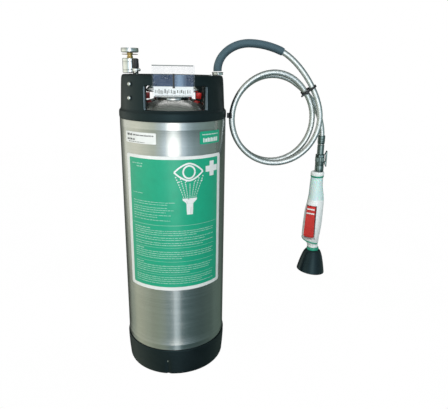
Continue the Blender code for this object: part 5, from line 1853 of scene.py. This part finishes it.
# the same for directions well below the horizon
AROUND_LOW = [
    (-180, (0.12, 0.13, 0.12)), (-150, (0.06, 0.07, 0.06)), (-124, (0.37, 0.42, 0.35)),
    (-103, (0.56, 0.60, 0.47)), (-86, (0.50, 0.54, 0.43)), (-71, (0.44, 0.50, 0.40)),
    (-57, (0.36, 0.41, 0.33)), (-43, (0.34, 0.41, 0.33)), (-30, (0.33, 0.40, 0.35)),
    (-17, (0.26, 0.35, 0.35)), (-9, (0.30, 0.40, 0.42)), (-2, (0.66, 0.80, 0.86)),
    (5, (0.50, 0.64, 0.69)), (12, (0.15, 0.23, 0.25)), (22, (0.10, 0.165, 0.17)),
    (34, (0.080, 0.132, 0.136)), (59, (0.074, 0.116, 0.114)), (89, (0.096, 0.143, 0.131)),
    (107, (0.135, 0.195, 0.172)), (132, (0.13, 0.185, 0.158)), (150, (0.06, 0.08, 0.07)),
    (180, (0.12, 0.13, 0.12))]
# brightness by height: 0 is straight down, 1 straight up
FALL_OFF = [(0.0, 0.8), (0.2, 1), (0.5, 1), (0.58, 0.8), (0.75, 0.62), (1.0, 0.6)]
ROOF_COLOR = (0.25, 0.29, 0.27)


def color_ramp(tree, factor, stops, interpolation="LINEAR"):
    node = add_node(tree, "ShaderNodeValToRGB", {"Fac": factor})
    node.color_ramp.interpolation = interpolation
    elements = node.color_ramp.elements
    while len(elements) < len(stops):
        elements.new(0.5)
    for element, (position, color) in zip(elements, stops):
        element.position = position
        element.color = (*color, 1)
    return node.outputs["Color"]


def studio_world():
    """The camera sees plain white; everything else is lit by a painted surround."""
    world = bpy.data.worlds.new("studio")
    scene.world = world
    world.use_nodes = True
    tree = world.node_tree
    tree.nodes.clear()
    output = add_node(tree, "ShaderNodeOutputWorld")
    rays = add_node(tree, "ShaderNodeLightPath")
    coord = add_node(tree, "ShaderNodeTexCoord")
    direction = add_node(tree, "ShaderNodeSeparateXYZ", {0: coord.outputs["Generated"]})
    x, y, z = direction.outputs

    def z_span(start, end):
        inputs = {"From Min": start, "From Max": end, "Value": z}
        return add_node(tree, "ShaderNodeMapRange", inputs).outputs["Result"]

    turn = math_node(tree, "ARCTAN2", x, math_node(tree, "MULTIPLY", y, -1.0))
    turn = math_node(tree, "ADD", math_node(tree, "DIVIDE", turn, tau), 0.5)
    level, low = [color_ramp(tree, turn, [(deg / 360 + 0.5, c) for deg, c in stops], "EASE")
                  for stops in (AROUND, AROUND_LOW)]
    around = mix_node(tree, z_span(-0.42, -0.20), low, level)
    height = math_node(tree, "ADD", math_node(tree, "MULTIPLY", z, 0.5), 0.5)
    fall_off = color_ramp(tree, height, [(at_height, (v, v, v)) for at_height, v in FALL_OFF])
    dimmed = mix_node(tree, 1.0, around, fall_off, blend_type="MULTIPLY")
    roofed = mix_node(tree, z_span(0.72, 0.92), dimmed, ROOF_COLOR)
    studio = add_node(tree, "ShaderNodeBackground", {"Color": roofed, "Strength": 1.0})
    white = add_node(tree, "ShaderNodeBackground", {"Color": (1, 1, 1), "Strength": 1.0})
    inputs = {"Fac": rays.outputs["Is Camera Ray"], 1: studio.outputs[0], 2: white.outputs[0]}
    mixed = add_node(tree, "ShaderNodeMixShader", inputs)
    put(tree, output.inputs["Surface"], mixed.outputs[0])


studio_world()

# ------------------------------------------------------------------ lights


def area_light(name, location, target, size, power, color=(1, 1, 1), glossy=True):
    light = bpy.data.lights.new(name, "AREA")
    light.shape = "RECTANGLE"
    light.size, light.size_y = size
    light.energy = power
    light.color = color
    ob = bpy.data.objects.new(name, light)
    ob.location = location
    ob.rotation_mode = "QUATERNION"
    ob.rotation_quaternion = (Vector(target) - Vector(location)).to_track_quat("-Z", "Y")
    scene.collection.objects.link(ob)
    ob.visible_camera = False
    ob.visible_glossy = glossy


area_light("key_light", location=(0.35, -1.7, 1.9), target=(0.05, 0, 0.35), size=(0.9, 0.9),
           power=26, glossy=False)
area_light("fill_light", location=(-1.5, -1.0, 0.9), target=(0.0, 0, 0.35), size=(0.8, 1.2),
           power=7, color=(1.0, 0.96, 0.88), glossy=False)
area_light("crown_card", location=(0.05, 1.88, 2.38), target=(0.0, 0.0, 0.57),
           size=(1.0, 0.26), power=1.5)

# ------------------------------------------------------------------ floor


def floor_material():
    """White to the camera, mid grey to all other rays."""
    m = Material("floor_white", (0.42, 0.42, 0.40), rough=0.9)
    glow = m.span(m.noise(scale=3, detail=2), low=0.995, high=1.0)
    emission = add_node(m.tree, "ShaderNodeEmission", {"Strength": glow})
    rays = add_node(m.tree, "ShaderNodeLightPath")
    mixed = add_node(m.tree, "ShaderNodeMixShader", {
        "Fac": rays.outputs["Is Camera Ray"], 1: m.shader.outputs[0], 2: emission.outputs[0]})
    put(m.tree, m.tree.nodes["Material Output"].inputs["Surface"], mixed.outputs[0])
    return m.material


def studio_floor():
    material = floor_material()
    bm = bmesh.new()
    bmesh.ops.create_grid(bm, x_segments=2, y_segments=2, size=3.0)
    bmesh.ops.translate(bm, vec=(0, 0, -0.0005), verts=bm.verts)
    mesh = bpy.data.meshes.new("studio_floor")
    bm.to_mesh(mesh)
    bm.free()
    mesh.materials.append(material)
    floor = bpy.data.objects.new("studio_floor", mesh)
    scene.collection.objects.link(floor)
    floor.visible_glossy = False


studio_floor()

# ------------------------------------------------------------------ camera
CAMERA_PLACE = (0, -0.9492, 0.6404)
# radians: turned from +Y towards +X, tipped down, rolled
CAMERA_YAW, CAMERA_PITCH, CAMERA_ROLL = 0.1137, 0.2917, 0.0174


def add_camera():
    data = bpy.data.cameras.new("camera")
    camera = bpy.data.objects.new("camera", data)
    scene.collection.objects.link(camera)
    scene.camera = camera
    flat = cos(CAMERA_PITCH)
    forward = Vector((sin(CAMERA_YAW) * flat, cos(CAMERA_YAW) * flat, -sin(CAMERA_PITCH)))
    level = Vector((cos(CAMERA_YAW), -sin(CAMERA_YAW), 0))
    upright = level.cross(forward)
    right = level * cos(CAMERA_ROLL) + upright * sin(CAMERA_ROLL)
    up = upright * cos(CAMERA_ROLL) - level * sin(CAMERA_ROLL)
    camera.matrix_world = placed(CAMERA_PLACE, right, up, -forward)
    data.lens = 36.265
    data.sensor_width = 36.0
    data.sensor_fit = "HORIZONTAL"
    data.clip_start, data.clip_end = 0.05, 20.0


add_camera()
